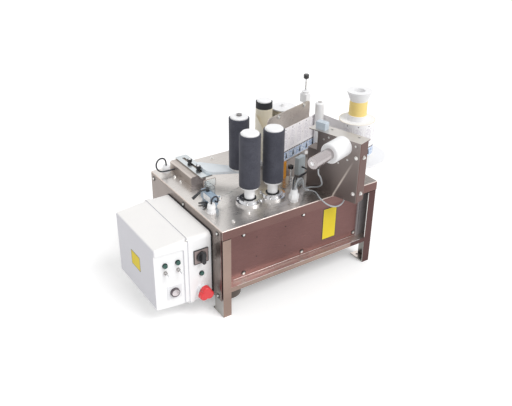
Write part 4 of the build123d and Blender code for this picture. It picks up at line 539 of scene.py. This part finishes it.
def makeTowerSteel():
    tree, shader = freshMaterial("towerSteel")
    x, y, z = axes(texture(tree))
    normalX, normalY, normalZ = axes(texture(tree, "Normal"))
    t = headReach(x, y, behind)
    # Painted light: lighter towards the top and towards the front of the head, with random variation
    lift = remap(z, *tower["height"], 0.0, 0.45) + remap(t, *tower["depth"], 0.05, -0.02)
    lift = lift + swing(noise(texture(tree), 5.0, 2.0, 0.4), -0.16, 0.16)
    shade = blend(remap(lift, 0.0, 1.0), (0.21, 0.175, 0.165), (0.40, 0.36, 0.345))
    slant = (t + tower["sheenT"]) * tower["sheenSlope"] + z - tower["sheenZ"]
    sheen = remap(abs(slant), 0.0, tower["sheenWidth"], 1.0, 0.0) * remap(z, *tower["sheenFade"], 1.0, 0.0)
    shade = blend(sheen * (normalX < -0.8), shade, (0.85, 0.78, 0.72))
    # Painted shade on the faces that look to the front, and painted light on the tops above the lid level
    shade = blend(normalY < -0.8, shade, (0.15, 0.088, 0.078))
    shade = blend((normalZ > 0.7) * (z > tower["lidLevel"]), shade, (0.66, 0.63, 0.60))
    streaks = noise(stretched(tree, (30, 30, 900)), 3.0, 2.0)
    dress(shader, shade, swing(streaks, 0.30, 0.36), bump(streaks, 0.015, 0.0002), {"Metallic": 0.9})


# Plastic with painted light and shade by the way a face looks: white front, a painted warm light top, painted
# grey-lavender shade on the ends
def makeBoxShell():
    tree, shader = freshMaterial("boxShell")
    x, y, z = axes(texture(tree, "Normal"))
    # Painted light on the tops and painted shade on the ends that look to the left
    tone = blend(remap(z, 0.2, 0.9), (0.95, 0.95, 0.955), (0.90, 0.885, 0.87))
    tone = blend(remap(x * -1.0, 0.3, 0.95), tone, (0.66, 0.655, 0.70))
    cover(tree, shader, grainGroup, {}, Color=tone, Soiled=blend(0.5, tone, (0.74, 0.73, 0.76)), Soiling=0.3,
          Roughness=0.42, Scale=1500.0, Depth=0.12)


# The fixed parts of the controls: one solid each, told apart by place
fittings = {"seam": -0.363, "plateX": (-0.3508, -0.3072), "plateZ": (0.1862, 0.2298), "dial": (-0.329, 0.208),
            "dialRing": (0.0155, 0.0175), "collarTop": 0.125, "nutZ": (0.168, 0.1985),
            "socket": (-0.415, 0.110), "socketTop": 0.150, "rimRadius": 0.0145, "faceRadius": 0.0108}


def makeControlFittings():
    tree, shader = freshMaterial("controlFittings")
    x, y, z = axes(texture(tree))
    nearSeam, farSide = x > fittings["seam"], x < fittings["seam"]
    plate = nearSeam * between(z, *fittings["plateZ"]) * between(x, *fittings["plateX"])
    dial = distance(x - fittings["dial"][0], z - fittings["dial"][1])
    ring = distance(x - fittings["socket"][0], z - fittings["socket"][1])
    nuts = farSide * between(z, *fittings["nutZ"])
    inside = blend(ring < fittings["rimRadius"], (0.86, 0.86, 0.88), (0.10, 0.08, 0.09))
    inside = blend(ring < fittings["faceRadius"], inside, (0.80, 0.76, 0.77))
    tone = blend(plate, (0.018, 0.020, 0.022), (0.33, 0.265, 0.255))
    tone = blend(between(dial, *fittings["dialRing"]), tone, (0.10, 0.08, 0.08))
    tone = blend(nearSeam * (z < fittings["collarTop"]), tone, (0.78, 0.78, 0.80))
    tone = blend(nuts, tone, (0.42, 0.40, 0.39))
    tone = blend(farSide * (z < fittings["socketTop"]), tone, inside)
    cover(tree, shader, grainGroup, {"Metallic": nuts * 0.9}, Color=tone, Soiled=tone, Soiling=0.2,
          Roughness=0.33, Scale=1100.0, Depth=0.08)


# Back of the printed web: white paper with one dark mark for each label
backMarks = {"pitch": 24.0, "along": (8.0, 12.5), "height": (0.4395, 0.4435)}


def makeWebBack():
    tree, shader = freshMaterial("webBack")
    x, y, z = axes(texture(tree))
    marks = between((x * 1000.0) % backMarks["pitch"], *backMarks["along"]) * between(z, *backMarks["height"])
    fibre = noise(texture(tree), 1500.0, 2.0)
    paper = blend(remap(fibre, 0.3, 0.7), (0.93, 0.91, 0.92), (0.86, 0.84, 0.85))
    dress(shader, blend(marks, paper, (0.02, 0.02, 0.022)), 0.4, bump(fibre, 0.05, 0.0002), {})


reelAxis = headPoint(302.0, -123.7, 0)
rewindAxis = headPoint(222.0, 111.0, 0)
for makeLook in (makeFoam, makeWebPrint, makeRollPrint, makeWound, makeClear, makeLens, makeTowerSteel,
                 makeBoxShell, makeControlFittings, makeWebBack):
    makeLook()
for name, facts in parted.items():
    makeParted(name, *facts)
print("materials made:", len(materials))

# The look of each CAD node
nodeMaterials = {
    "legSteel": ["base_frame"], "deckSteel": ["deck_cover"], "panelSteel": ["side_panels"],
    "housingSteel": ["arm_housing"], "towerSteel": ["tower_body"],
    "stainlessBright": ["peel_plate", "reel_bracket"], "slideSteel": ["slide_plate"],
    "blackRubber": ["control_box_gasket", "drive_belts", "traction_roller_sleeve"],
    "boxShell": ["control_box_base", "control_box_lid"], "controlFittings": ["control_bezels"],
    "blackPlastic": ["selector_knob", "clamp_knob_front", "clamp_knob_rear", "switch_clamp_lever"],
    "clampStud": ["head_clamp"], "adjusterRod": ["adjuster_knob"], "greenLens": ["indicator_lamps"],
    "chrome": ["toggle_lever_left", "toggle_lever_right", "roller_flanges"],
    "zinc": ["cover_screws", "switch_feeler"], "redPlastic": ["estop_button"],
    "whiteNylon": ["left_roller_core", "right_roller_core", "pressure_roller_core", "traction_roller_core",
                   "rewind_spool", "guide_roller", "adjuster_post", "support_disc", "reel_hub"],
    "foamRubber": ["left_roller_sleeve", "right_roller_sleeve", "pressure_roller_sleeve"],
    "motorPaint": ["drive_motors"], "aluminium": ["motor_pulley", "head_base"], "tubeSteel": ["side_motor"],
    "pressureArm": ["pressure_arm"], "blueGreyPlastic": ["switch_body"], "sensorPlastic": ["photo_sensors"],
    "clearPlastic": ["switch_guard"], "linerPaper": ["liner"], "webBack": ["label_web"],
    "labelPrintRoll": ["label_roll"], "woundLiner": ["rewind_roll"], "amberPlastic": ["head_bracket"],
    "whitePlastic": ["drum_housing", "cable_glands"], "yellowPlastic": ["brake_drum"],
}
for name, owned in nodeMaterials.items():
    for node in owned:
        nodes[node].data.materials.clear()
        nodes[node].data.materials.append(materials[name])
for name, cable in cableObjects.items():
    cable.data.materials.append(materials[cableKinds[cables[name]["kind"]]["material"]])


# Modelling tools
def objectMode():
    bpy.ops.object.mode_set(mode="OBJECT")


def letGo():
    if bpy.context.object and bpy.context.object.mode != "OBJECT":
        objectMode()
    bpy.ops.object.select_all(action="DESELECT")


def named(name):
    piece = bpy.context.object
    piece.name = name
    bpy.ops.object.transform_apply(location=True, rotation=True, scale=True)
    return piece


def rod(name, radius, height, sides=32, bottom=0.0):
    letGo()
    bpy.ops.mesh.primitive_cylinder_add(vertices=sides, radius=radius / 1000, depth=height / 1000,
                                        location=(0, 0, (bottom + height / 2) / 1000))
    return named(name)


def slab(name, size, corner=0.0):
    letGo()
    bpy.ops.mesh.primitive_cube_add(size=1, location=(0, 0, size[2] / 2000))
    bpy.context.object.scale = mm(*size)
    piece = named(name)
    if corner:
        pick(piece, "EDGE", lambda line: abs(line.normalized().z) > 0.9)
        bpy.ops.mesh.bevel(offset=corner / 1000, segments=5, profile=0.5)
        objectMode()
    return piece


# Selects faces by a test on the face, or edges by a test on their line, and stays in edit mode
def pick(piece, kind, test):
    bpy.context.view_layer.objects.active = piece
    bpy.ops.object.mode_set(mode="EDIT")
    bpy.ops.mesh.select_mode(type=kind)
    bpy.ops.mesh.select_all(action="DESELECT")
    objectMode()
    points = [vertex.co.copy() for vertex in piece.data.vertices]
    if kind == "FACE":
        for face in piece.data.polygons:
            face.select = test(face)
    else:
        for edge in piece.data.edges:
            edge.select = test(points[edge.vertices[0]] - points[edge.vertices[1]])
    bpy.ops.object.mode_set(mode="EDIT")


def topFace(face):
    return face.normal.z > 0.9


def flatFace(face):
    return abs(face.normal.z) > 0.9


def centreFace(face):
    return topFace(face) and face.center.xy.length < 0.0001


# Insets the picked faces and, where a lift is given, moves them up by it
def raiseFace(piece, test, inset, lift=None):
    pick(piece, "FACE", test)
    if inset:
        bpy.ops.mesh.inset(thickness=inset / 1000)
    if lift is not None:
        bpy.ops.mesh.extrude_region_move(TRANSFORM_OT_translate={"value": (0, 0, lift / 1000)})
    objectMode()


def widenTop(piece, share):
    pick(piece, "FACE", topFace)
    bpy.ops.transform.resize(value=(share, share, 1.0))
    objectMode()


def withModifier(piece, kind, **settings):
    letGo()
    bpy.context.view_layer.objects.active = piece
    piece.select_set(True)
    modifier = piece.modifiers.new("change", kind)
    for label, setting in settings.items():
        setattr(modifier, label, setting)
    bpy.ops.object.modifier_apply(modifier="change")
    return piece


def softened(piece, width, segments=2, angle=35):
    return withModifier(piece, "BEVEL", width=width / 1000, segments=segments, limit_method="ANGLE",
                        angle_limit=math.radians(angle), harden_normals=False)


def walled(piece, wall):
    return withModifier(piece, "SOLIDIFY", thickness=wall / 1000, offset=-1)


def turned(degrees, axis):
    return Matrix.Rotation(math.radians(degrees), 4, axis)


def facing(point, normal, turn=0.0):
    return Matrix.Translation(point) @ normal.to_track_quat("Z", "Y").to_matrix().to_4x4() @ turned(turn, "Z")


def joined(name, parts):
    letGo()
    for part in parts:
        part.select_set(True)
    bpy.context.view_layer.objects.active = parts[0]
    if len(parts) > 1:
        bpy.ops.object.join()
    parts[0].name = name
    parts[0].data.name = name
    return parts[0]


# One joined piece made of copies of the pattern, which is then removed
def repeated(name, pattern, matrices):
    parts, mesh = [], pattern.data
    for matrix in matrices:
        twin = pattern.copy()
        twin.data = mesh.copy()
        twin.data.transform(matrix)
        bpy.context.scene.collection.objects.link(twin)
        parts.append(twin)
    bpy.data.objects.remove(pattern)
    bpy.data.meshes.remove(mesh)
    return joined(name, parts)


def finished(piece, material, body="machine", smooth=35):
    letGo()
    bpy.context.view_layer.objects.active = piece
    piece.select_set(True)
    if material:
        piece.data.materials.clear()
        piece.data.materials.append(materials[material])
    bpy.ops.object.shade_smooth_by_angle(angle=math.radians(smooth))
    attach(piece, body)
    letGo()
    return piece


# Faces that pass the test take the second material
def twoTone(piece, first, second, test):
    piece.data.materials.append(materials[first])
    piece.data.materials.append(materials[second])
    for face in piece.data.polygons:
        face.material_index = int(test(face))


# Screw head with a hexagon socket
def capScrew(name, radius, height):
    piece = rod(name, radius, height, 24)
    raiseFace(piece, topFace, radius * 0.42, 0)
    raiseFace(piece, centreFace, 0, -height * 0.55)
    return softened(piece, radius * 0.12)


# Low round head with a cross slot, on a thin washer
def panScrew(name, radius, height):
    piece = rod(name, radius * 1.3, height * 0.25, 24)
    raiseFace(piece, topFace, radius * 0.3, height * 0.45)
    raiseFace(piece, topFace, radius * 0.22, height * 0.3)
    raiseFace(piece, topFace, radius * 0.42, 0)
    raiseFace(piece, centreFace, 0, -height * 0.2)
    return softened(piece, radius * 0.08)


# Hexagon nut on a washer, with the stud end through it
def studNut(name, radius, height):
    washer = rod(name, radius * 1.25, height * 0.15, 24)
    nut = rod("nut", radius, height * 0.7, 6, height * 0.15)
    stud = rod("stud", radius * 0.5, height * 1.2, 16)
    for part in (nut, stud):
        softened(part, radius * 0.08)
    return joined(name, [washer, nut, stud])


def scattered(name, pattern, places, material):
    matrices = [facing(point, normal, turn) for point, normal, turn in places]
    return finished(repeated(name, pattern, matrices), material)


# Cap with a rim round its sunk or raised middle
def makeCap(name, shape, place, material, body="machine"):
    piece = rod(name, shape["radius"], shape["height"], shape["sides"])
    raiseFace(piece, topFace, shape["rim"], shape["lift"])
    softened(piece, shape["edge"], shape["rounds"])
    piece.data.transform(place)
    finished(piece, material, body)


# Foam sleeves of the three bottle rollers
sleeves = {"left": {"x": -129.2, "y": -116.8, "low": 359.0, "high": 524.0},
           "right": {"x": -50.1, "y": -123.8, "low": 359.0, "high": 524.0},
           "pressure": {"x": -85.5, "y": 10.5, "low": 357.0, "high": 521.0}}
sleeveShape = {"radius": 31.85, "outside": 29.0, "wall": 9.9, "rings": 22, "edge": 1.6, "unevenness": 0.14,
               "seed": 4}


def makeSleeve(roller, facts):
    letGo()
    bpy.ops.mesh.primitive_cylinder_add(
        vertices=96, radius=sleeveShape["radius"] / 1000, depth=(facts["high"] - facts["low"]) / 1000,
        end_fill_type="NOTHING", location=mm(facts["x"], facts["y"], (facts["low"] + facts["high"]) / 2))
    piece = named(roller + "Sleeve")
    pick(piece, "EDGE", lambda line: abs(line.z) > 0.05)
    bpy.ops.mesh.subdivide(number_cuts=sleeveShape["rings"])
    objectMode()
    softened(walled(piece, sleeveShape["wall"]), sleeveShape["edge"], 3, 60)
    chance = random.Random(sleeveShape["seed"] + int(facts["low"] + facts["x"]))
    phases = [chance.uniform(0, math.tau) for wave in range(4)]
    for vertex in piece.data.vertices:
        arm = Vector((vertex.co.x - facts["x"] / 1000, vertex.co.y - facts["y"] / 1000, 0))
        angle = math.atan2(arm.y, arm.x)
        if arm.length > sleeveShape["outside"] / 1000:
            swell = (math.sin(3 * angle + phases[0] + 40 * vertex.co.z) * 0.5
                     + math.sin(5 * angle + phases[1] - 70 * vertex.co.z) * 0.5) - 1
            vertex.co += arm.normalized() * swell * sleeveShape["unevenness"] / 1000
    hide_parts(roller + "_roller_sleeve")
    finished(piece, "foamRubber", roller + "_roller", 50)


for roller, facts in sleeves.items():
    makeSleeve(roller, facts)
print("foam sleeves made")

# Screws of the panels, box, peel plate and tower
panelScrews = {"frontX": (-202.0, 16.0, 229.0), "frontZ": (117.0, 252.0), "frontY": 198.0,
               "endY": (-200.0, 0.0, 200.0), "endHigh": 287.0, "endLow": 70.0, "endX": 292.0, "radius": 4.8,
               "height": 2.8, "plateS": (51.0, 181.0), "plateZ": 530.0}
towerNuts = {"radius": 5.0, "height": 5.0, "left": (102.6, -248.0), "leftZ": (334.0, 452.0),
             "front": (123.0, -261.0), "frontZ": (332.0, 451.0), "deckZ": 304.0,
             "deck": ((-244.3, 103.0), (-244.3, 143.7), (-232.4, -191.6), (-167.2, -172.6), (-75.0, 198.4),
                      (111.0, -112.0))}
boxScrews = {"radius": 3.2, "height": 2.4, "x": -370.0, "y": (-163.8, 103.2), "z": (54.7, 272.4), "turn": 40}


def makePanelScrews():
    places = []
    for x in panelScrews["frontX"]:
        for z in panelScrews["frontZ"]:
            places.append((mm(x, -panelScrews["frontY"], z), front, 15 * x))
            places.append((mm(x, panelScrews["frontY"], z), rear, 25 * x))
    for y in panelScrews["endY"]:
        for x, way in ((-panelScrews["endX"], left), (panelScrews["endX"], right)):
            places.append((mm(x, y, panelScrews["endHigh"]), way, 35 + y))
            if y:
                places.append((mm(x, y, panelScrews["endLow"]), way, 70 + y))
    places += [(headPoint(s, 0, panelScrews["plateZ"]), -behind, 20 + s) for s in panelScrews["plateS"]]
    heads = scattered("coverScrews", panScrew("panPattern", panelScrews["radius"], panelScrews["height"]),
                      places, "zinc")
    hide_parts("cover_screws")
    nuts = [(headPoint(*towerNuts["left"], z), -along, z) for z in towerNuts["leftZ"]]
    nuts += [(headPoint(*towerNuts["front"], z), -behind, z) for z in towerNuts["frontZ"]]
    nuts += [(mm(x, y, towerNuts["deckZ"]), up, y) for x, y in towerNuts["deck"]]
    scattered("towerNuts", studNut("nutPattern", towerNuts["radius"], towerNuts["height"]), nuts, "zinc")
    corners = [(y, z) for y in boxScrews["y"] for z in boxScrews["z"]]
    box = [(mm(boxScrews["x"], y, z), left, boxScrews["turn"]) for y, z in corners]
    scattered("boxScrews", capScrew("boxPattern", boxScrews["radius"], boxScrews["height"]), box, "zinc")


makePanelScrews()

# Small screws on the tower and the front panel, with point, normal and turn of each. Those in the end of the
# motor's tube lie on a circle round its middle
tubeEnd = {"s": -52.4, "t": -200.0, "z": 477.0, "circle": 9.5}
smallScrews = {
    "towerScrews": {"radius": 3.0, "height": 2.0, "material": "zinc", "spots": [
        *((headPoint(102.6, t, z), -along, 10 * t) for t, z in (
            (-188.7, 418.8), (-218.9, 438.0), (-242.9, 488.0), (-132.5, 478.9), (-149.5, 489.0))),
        (headPoint(138.4, -137.5, 500.0), up, 15), (headPoint(141.1, -230.2, 500.0), up, 65)]},
    "panelRivets": {"radius": 1.7, "height": 0.9, "material": "blackPlastic", "spots": [
        (mm(x, -198.0, z), front, 0) for x, z in (
            (-50.5, 230.9), (-155.2, 228.8), (-49.9, 161.6), (-155.5, 160.9))]},
    "tubeScrews": {"radius": 1.7, "height": 1.0, "material": "zinc", "spots": [
        (headPoint(tubeEnd["s"], tubeEnd["t"] + tubeEnd["circle"] * math.sin(turn),
                   tubeEnd["z"] + tubeEnd["circle"] * math.cos(turn)), -along, 0)
        for turn in (0.4, 2.5, 4.6)]},
}
for name, facts in smallScrews.items():
    scattered(name, panScrew("smallPattern", facts["radius"] / 1.3, facts["height"]), facts["spots"],
              facts["material"])

# Bearing cap in the end of the motor's tube
tubeCap = {"radius": 6.2, "height": 1.6, "sides": 48, "rim": 2.0, "lift": -0.9, "edge": 0.3, "rounds": 2}
tubePlace = facing(headPoint(tubeEnd["s"], tubeEnd["t"], tubeEnd["z"]), -along)
makeCap("tubeCap", tubeCap, tubePlace, "chrome")

# Bottle switch: cranked clamp lever, star knob under the body, blank plate, second wall of the guard
switch = {"hub": (-236.0, -52.0, 340.3), "hubRadius": 6.0, "hubHeight": 10.0, "handle": (2.8, 18.0),
          "handleSpot": (-4.0, 0.0, 7.0), "grip": (2.9, 38.0), "gripSpot": (-19.5, 0.0, 8.2),
          "gripTilt": -122, "gripFlare": 1.75, "star": (-236.0, -66.0, 304.6), "armReach": 36.0,
          "armRadii": (2.3, 4.2), "starTurns": (28, 158, 205), "plate": (40.0, 19.0, 0.7),
          "plateSpot": (-247.0, -66.0, 326.5), "guard": (42.0, 26.0, 2.0), "guardRim": 1.1,
          "guardSpot": (-214.0, -26.8, 351.0)}


def makeLever():
    hub = rod("hub", switch["hubRadius"], switch["hubHeight"])
    raiseFace(hub, topFace, 1.6, -1.2)
    softened(hub, 0.6)
    handle = rod("handle", *switch["handle"], 24)
    handle.data.transform(at(*switch["handleSpot"]) @ turned(-90, "Y"))
    grip = rod("grip", *switch["grip"], 24)
    widenTop(grip, switch["gripFlare"])
    softened(grip, 1.8, 4)
    grip.data.transform(at(*switch["gripSpot"]) @ turned(switch["gripTilt"], "Y"))
    piece = joined("clampLever", [hub, handle, grip])
    piece.data.transform(at(*switch["hub"]))
    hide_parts("switch_clamp_lever")
    finished(piece, "blackPlastic", "switch_lever", 40)


def makeStar():
    thin, thick = switch["armRadii"]
    x, y, z = switch["star"]
    arm = rod("arm", thick, switch["armReach"], 20)
    widenTop(arm, thin / thick)
    softened(arm, 1.6, 3)
    arm.data.transform(turned(90, "Y"))
    matrices = [at(x, y, z + thick) @ turned(turn, "Z") for turn in switch["starTurns"]]
    piece = repeated("switchStar", arm, matrices)
    finished(piece, "blackPlastic", smooth=40)


def makeSwitchPlate():
    piece = slab("switchPlate", switch["plate"], 1.5)
    raiseFace(piece, topFace, 1.2, 0.15)
    piece.data.transform(at(*switch["plateSpot"]) @ looking(front, up, left))
    finished(softened(piece, 0.1), "whitePlastic")


def makeGuardWall():
    piece = slab("guardWall", switch["guard"], 3.0)
    raiseFace(piece, flatFace, switch["guardRim"])
    twoTone(piece, "clearPlastic", "guardRim", lambda face: not (flatFace(face) and face.area > 0.0005))
    piece.data.transform(at(*switch["guardSpot"]) @ looking(right, up, front))
    finished(piece, None)


makeLever()
makeStar()
makeSwitchPlate()
makeGuardWall()
print("switch dressed")

# Knobs of the slide: pale plug on each, clear of the slot
knobPlugs = {"slide_knob_front": (-189.0, 88.0, 352.6), "slide_knob_rear": (-189.0, 144.0, 352.6)}
plugShape = {"radius": 4.4, "height": 1.4, "sides": 32, "rim": 1.2, "lift": -0.5, "edge": 0.3, "rounds": 2}
for body, spot in knobPlugs.items():
    makeCap(body + "Plug", plugShape, at(*spot), "whiteNylon", body)

# Ribs round the cable glands, and the hexagon nut of the front one
glands = {"places": ((-250.8, 189.7), (-260.9, -116.5), (-16.0, -188.0)), "reach": 12.6, "ribs": 14,
          "rib": (1.6, 1.7, 7.0), "level": 305.0}
glandNut = {"spot": (-16.0, -188.0, 314.0), "radius": 16.2, "height": 15.0, "sides": 6, "rim": 1.4,
            "lift": 1.6, "edge": 1.0, "rounds": 3}


def makeGlandRibs():
    ring = [turned(360 * number / glands["ribs"], "Z") @ at(glands["reach"], 0, 0)
            for number in range(glands["ribs"])]
    matrices = [at(x, y, glands["level"]) @ matrix for x, y in glands["places"] for matrix in ring]
    piece = repeated("glandRibs", softened(slab("rib", glands["rib"], 0.5), 0.3), matrices)
    finished(piece, "whitePlastic")


makeGlandRibs()
makeCap("glandNut", glandNut, at(*glandNut["spot"]), "whitePlastic")

# Thin zinc strips laid as painted highlights on the folded edges along the rail, the lower lip and the right
# end of the front panel
paintedHighlightEdges = {"size": (478.0, 1.2, 1.4), "spots": ((0.0, -222.9, 99.6), (0.0, -198.8, 104.2)),
               "upright": (2.2, 1.4, 166.0), "uprightSpot": (258.8, -222.4, 101.5), "edge": 0.35}


def makePaintedHighlightEdges():
    strip = softened(slab("strip", paintedHighlightEdges["size"]), paintedHighlightEdges["edge"])
    strips = repeated("strips", strip, [at(*spot) for spot in paintedHighlightEdges["spots"]])
    upright = softened(slab("upright", paintedHighlightEdges["upright"]), paintedHighlightEdges["edge"])
    upright.data.transform(at(*paintedHighlightEdges["uprightSpot"]))
    # The strips stand in for highlights on the folds
    finished(joined("paintedHighlightEdges", [strips, upright]), "zinc")


makePaintedHighlightEdges()

# Spent liner lying round the camera side of the traction roller
wrap = {"s": 139.0, "t": 126.0, "radius": 27.25, "thick": 0.2, "low": 370.5, "high": 503.0, "cutTurn": 55,
        "cutReach": 4.0}


def makeWrap():
    piece = rod("linerWrap", wrap["radius"], wrap["high"] - wrap["low"], 96, wrap["low"])
    pick(piece, "FACE", flatFace)
    bpy.ops.mesh.delete(type="FACE")
    bpy.ops.mesh.select_all(action="SELECT")
    away = turned(wrap["cutTurn"], "Z") @ right
    bpy.ops.mesh.bisect(plane_co=away * wrap["cutReach"] / 1000, plane_no=away, clear_outer=True)
    objectMode()
    walled(piece, wrap["thick"])
    piece.data.transform(Matrix.Translation(headPoint(wrap["s"], wrap["t"], 0)))
    finished(piece, "linerPaper", smooth=50)


makeWrap()
print("small pieces made")

# Bearing flanges of the bottle rollers: cap screws and seal segments
flange = {"screwReach": 36.0, "screwRadius": 3.2, "screwHeight": 5.0, "screwLevel": 311.0,
          "screwTurns": (45, 135, 225, 315), "sealOuter": 20.6, "sealWall": 4.4, "sealHeight": 8.0,
          "sealLevel": 311.2, "sealFloor": 0.1, "sealTurns": (20, 200), "sealHalf": 68}


def cutSeal(piece, angle):
    for side in (-1, 1):
        bpy.ops.object.mode_set(mode="EDIT")
        bpy.ops.mesh.select_all(action="SELECT")
        edge = turned(angle + side * (flange["sealHalf"] + 90), "Z") @ right
        bpy.ops.mesh.bisect(plane_co=(0, 0, 0), plane_no=edge, clear_outer=True, use_fill=True)
        objectMode()


def makeFlangeDetail():
    centres = [(sleeves[roller]["x"], sleeves[roller]["y"]) for roller in ("left", "right")]
    places = [(mm(x, y, flange["screwLevel"]) + turned(turn, "Z") @ mm(flange["screwReach"], 0, 0), up, turn)
              for x, y in centres for turn in flange["screwTurns"]]
    screw = capScrew("flangePattern", flange["screwRadius"], flange["screwHeight"])
    scattered("flangeScrews", screw, places, "chrome")
    segments = []
    for x, y in centres:
        for angle in flange["sealTurns"]:
            piece = rod("seal", flange["sealOuter"], flange["sealHeight"], 64)
            raiseFace(piece, topFace, flange["sealWall"], flange["sealFloor"] - flange["sealHeight"])
            cutSeal(piece, angle)
            piece.data.transform(at(x, y, flange["sealLevel"]))
            segments.append(softened(piece, 0.5))
    finished(joined("flangeSeals", segments), "blackRubber")


makeFlangeDetail()
print("screws and seals made")

# Labels on the straight run of the web
labels = {"pitch": 36.0, "width": 34.0, "start": 1.0, "count": 7, "low": 370.6, "high": 480.4, "thick": 0.16,
          "lift": 0.62}


def makeLabels():
    middle, height = (labels["low"] + labels["high"]) / 2, labels["high"] - labels["low"]
    pattern = slab("label", (labels["width"], height, labels["thick"]), 2.0)
    first = labels["start"] + labels["width"] / 2
    points = [headPoint(first + number * labels["pitch"], -labels["lift"], middle)
              for number in range(labels["count"])]
    matrices = [Matrix.Translation(point) @ looking(along, up, -behind) for point in points]
    piece = repeated("webLabels", pattern, matrices)
    finished(piece, "labelPrintWeb")


makeLabels()
print("labels made")

# Blank yellow plates with a black rim
plates = {
    "frontPlate": {"point": (122.5, -198.0, 188.0), "normal": front, "size": (55.0, 114.0, 0.6)},
    "boxPlate": {"point": (-472.35, -29.5, 164.5), "normal": left, "size": (61.0, 51.0, 0.2)},
}


def makePlate(name, facts):
    piece = slab(name, facts["size"], 3.0)
    raiseFace(piece, topFace, 2.2)
    twoTone(piece, "blackPlastic", "yellowSticker", centreFace)
    piece.data.transform(at(*facts["point"]) @ looking(up.cross(facts["normal"]), up, facts["normal"]))
    finished(piece, None)


for name, facts in plates.items():
    makePlate(name, facts)

# Floor, light and background
studio = {"floor": (0.86, 0.86, 0.86), "size": 40, "lift": 0.28, "world": 0.70, "sun": 1.55, "sunAngle": 28,
          "sunWay": (-0.25, 0.80, -1.0)}


# 1 where the camera sees a surface itself, in a mirror or through glass, 0 for its light on other things
def seenBy(tree):
    path = tree.nodes.new("ShaderNodeLightPath")
    rays = [Signal(path.outputs[f"Is {kind} Ray"]) for kind in ("Camera", "Glossy", "Transmission")]
    return calc("MAXIMUM", rays[0], calc("MAXIMUM", rays[1], rays[2]))


def makeStage():
    letGo()
    bpy.ops.mesh.primitive_plane_add(size=studio["size"], location=(0, 0, -0.0002))
    floor = bpy.context.object
    floor.name = "studioFloor"
    tree, shader = freshMaterial("floorPaint")
    paint(shader, {"Base Color": studio["floor"], "Roughness": 0.9, "Specular IOR Level": 0.0,
                   "Emission Color": (1, 1, 1), "Emission Strength": seenBy(tree) * studio["lift"]})
    floor.data.materials.append(materials["floorPaint"])


def makeLight():
    world = bpy.data.worlds.new("studioWorld")
    bpy.context.scene.world = world
    world.use_nodes = True
    tree = world.node_tree
    tree.nodes.clear()
    surface = tree.nodes.new("ShaderNodeOutputWorld")
    sky = tree.nodes.new("ShaderNodeBackground")
    paint(sky, {"Color": (1, 1, 1), "Strength": remap(seenBy(tree), 0.0, 1.0, studio["world"], 1.0)})
    tree.links.new(sky.outputs[0], surface.inputs[0])
    lamp = bpy.data.lights.new("keySun", "SUN")
    lamp.energy, lamp.angle = studio["sun"], math.radians(studio["sunAngle"])
    holder = bpy.data.objects.new("keySun", lamp)
    bpy.context.scene.collection.objects.link(holder)
    holder.matrix_world = Vector(studio["sunWay"]).to_track_quat("-Z", "Y").to_matrix().to_4x4()
    bpy.context.scene.view_settings.view_transform = "Standard"


makeStage()
makeLight()
print("stage and light made")
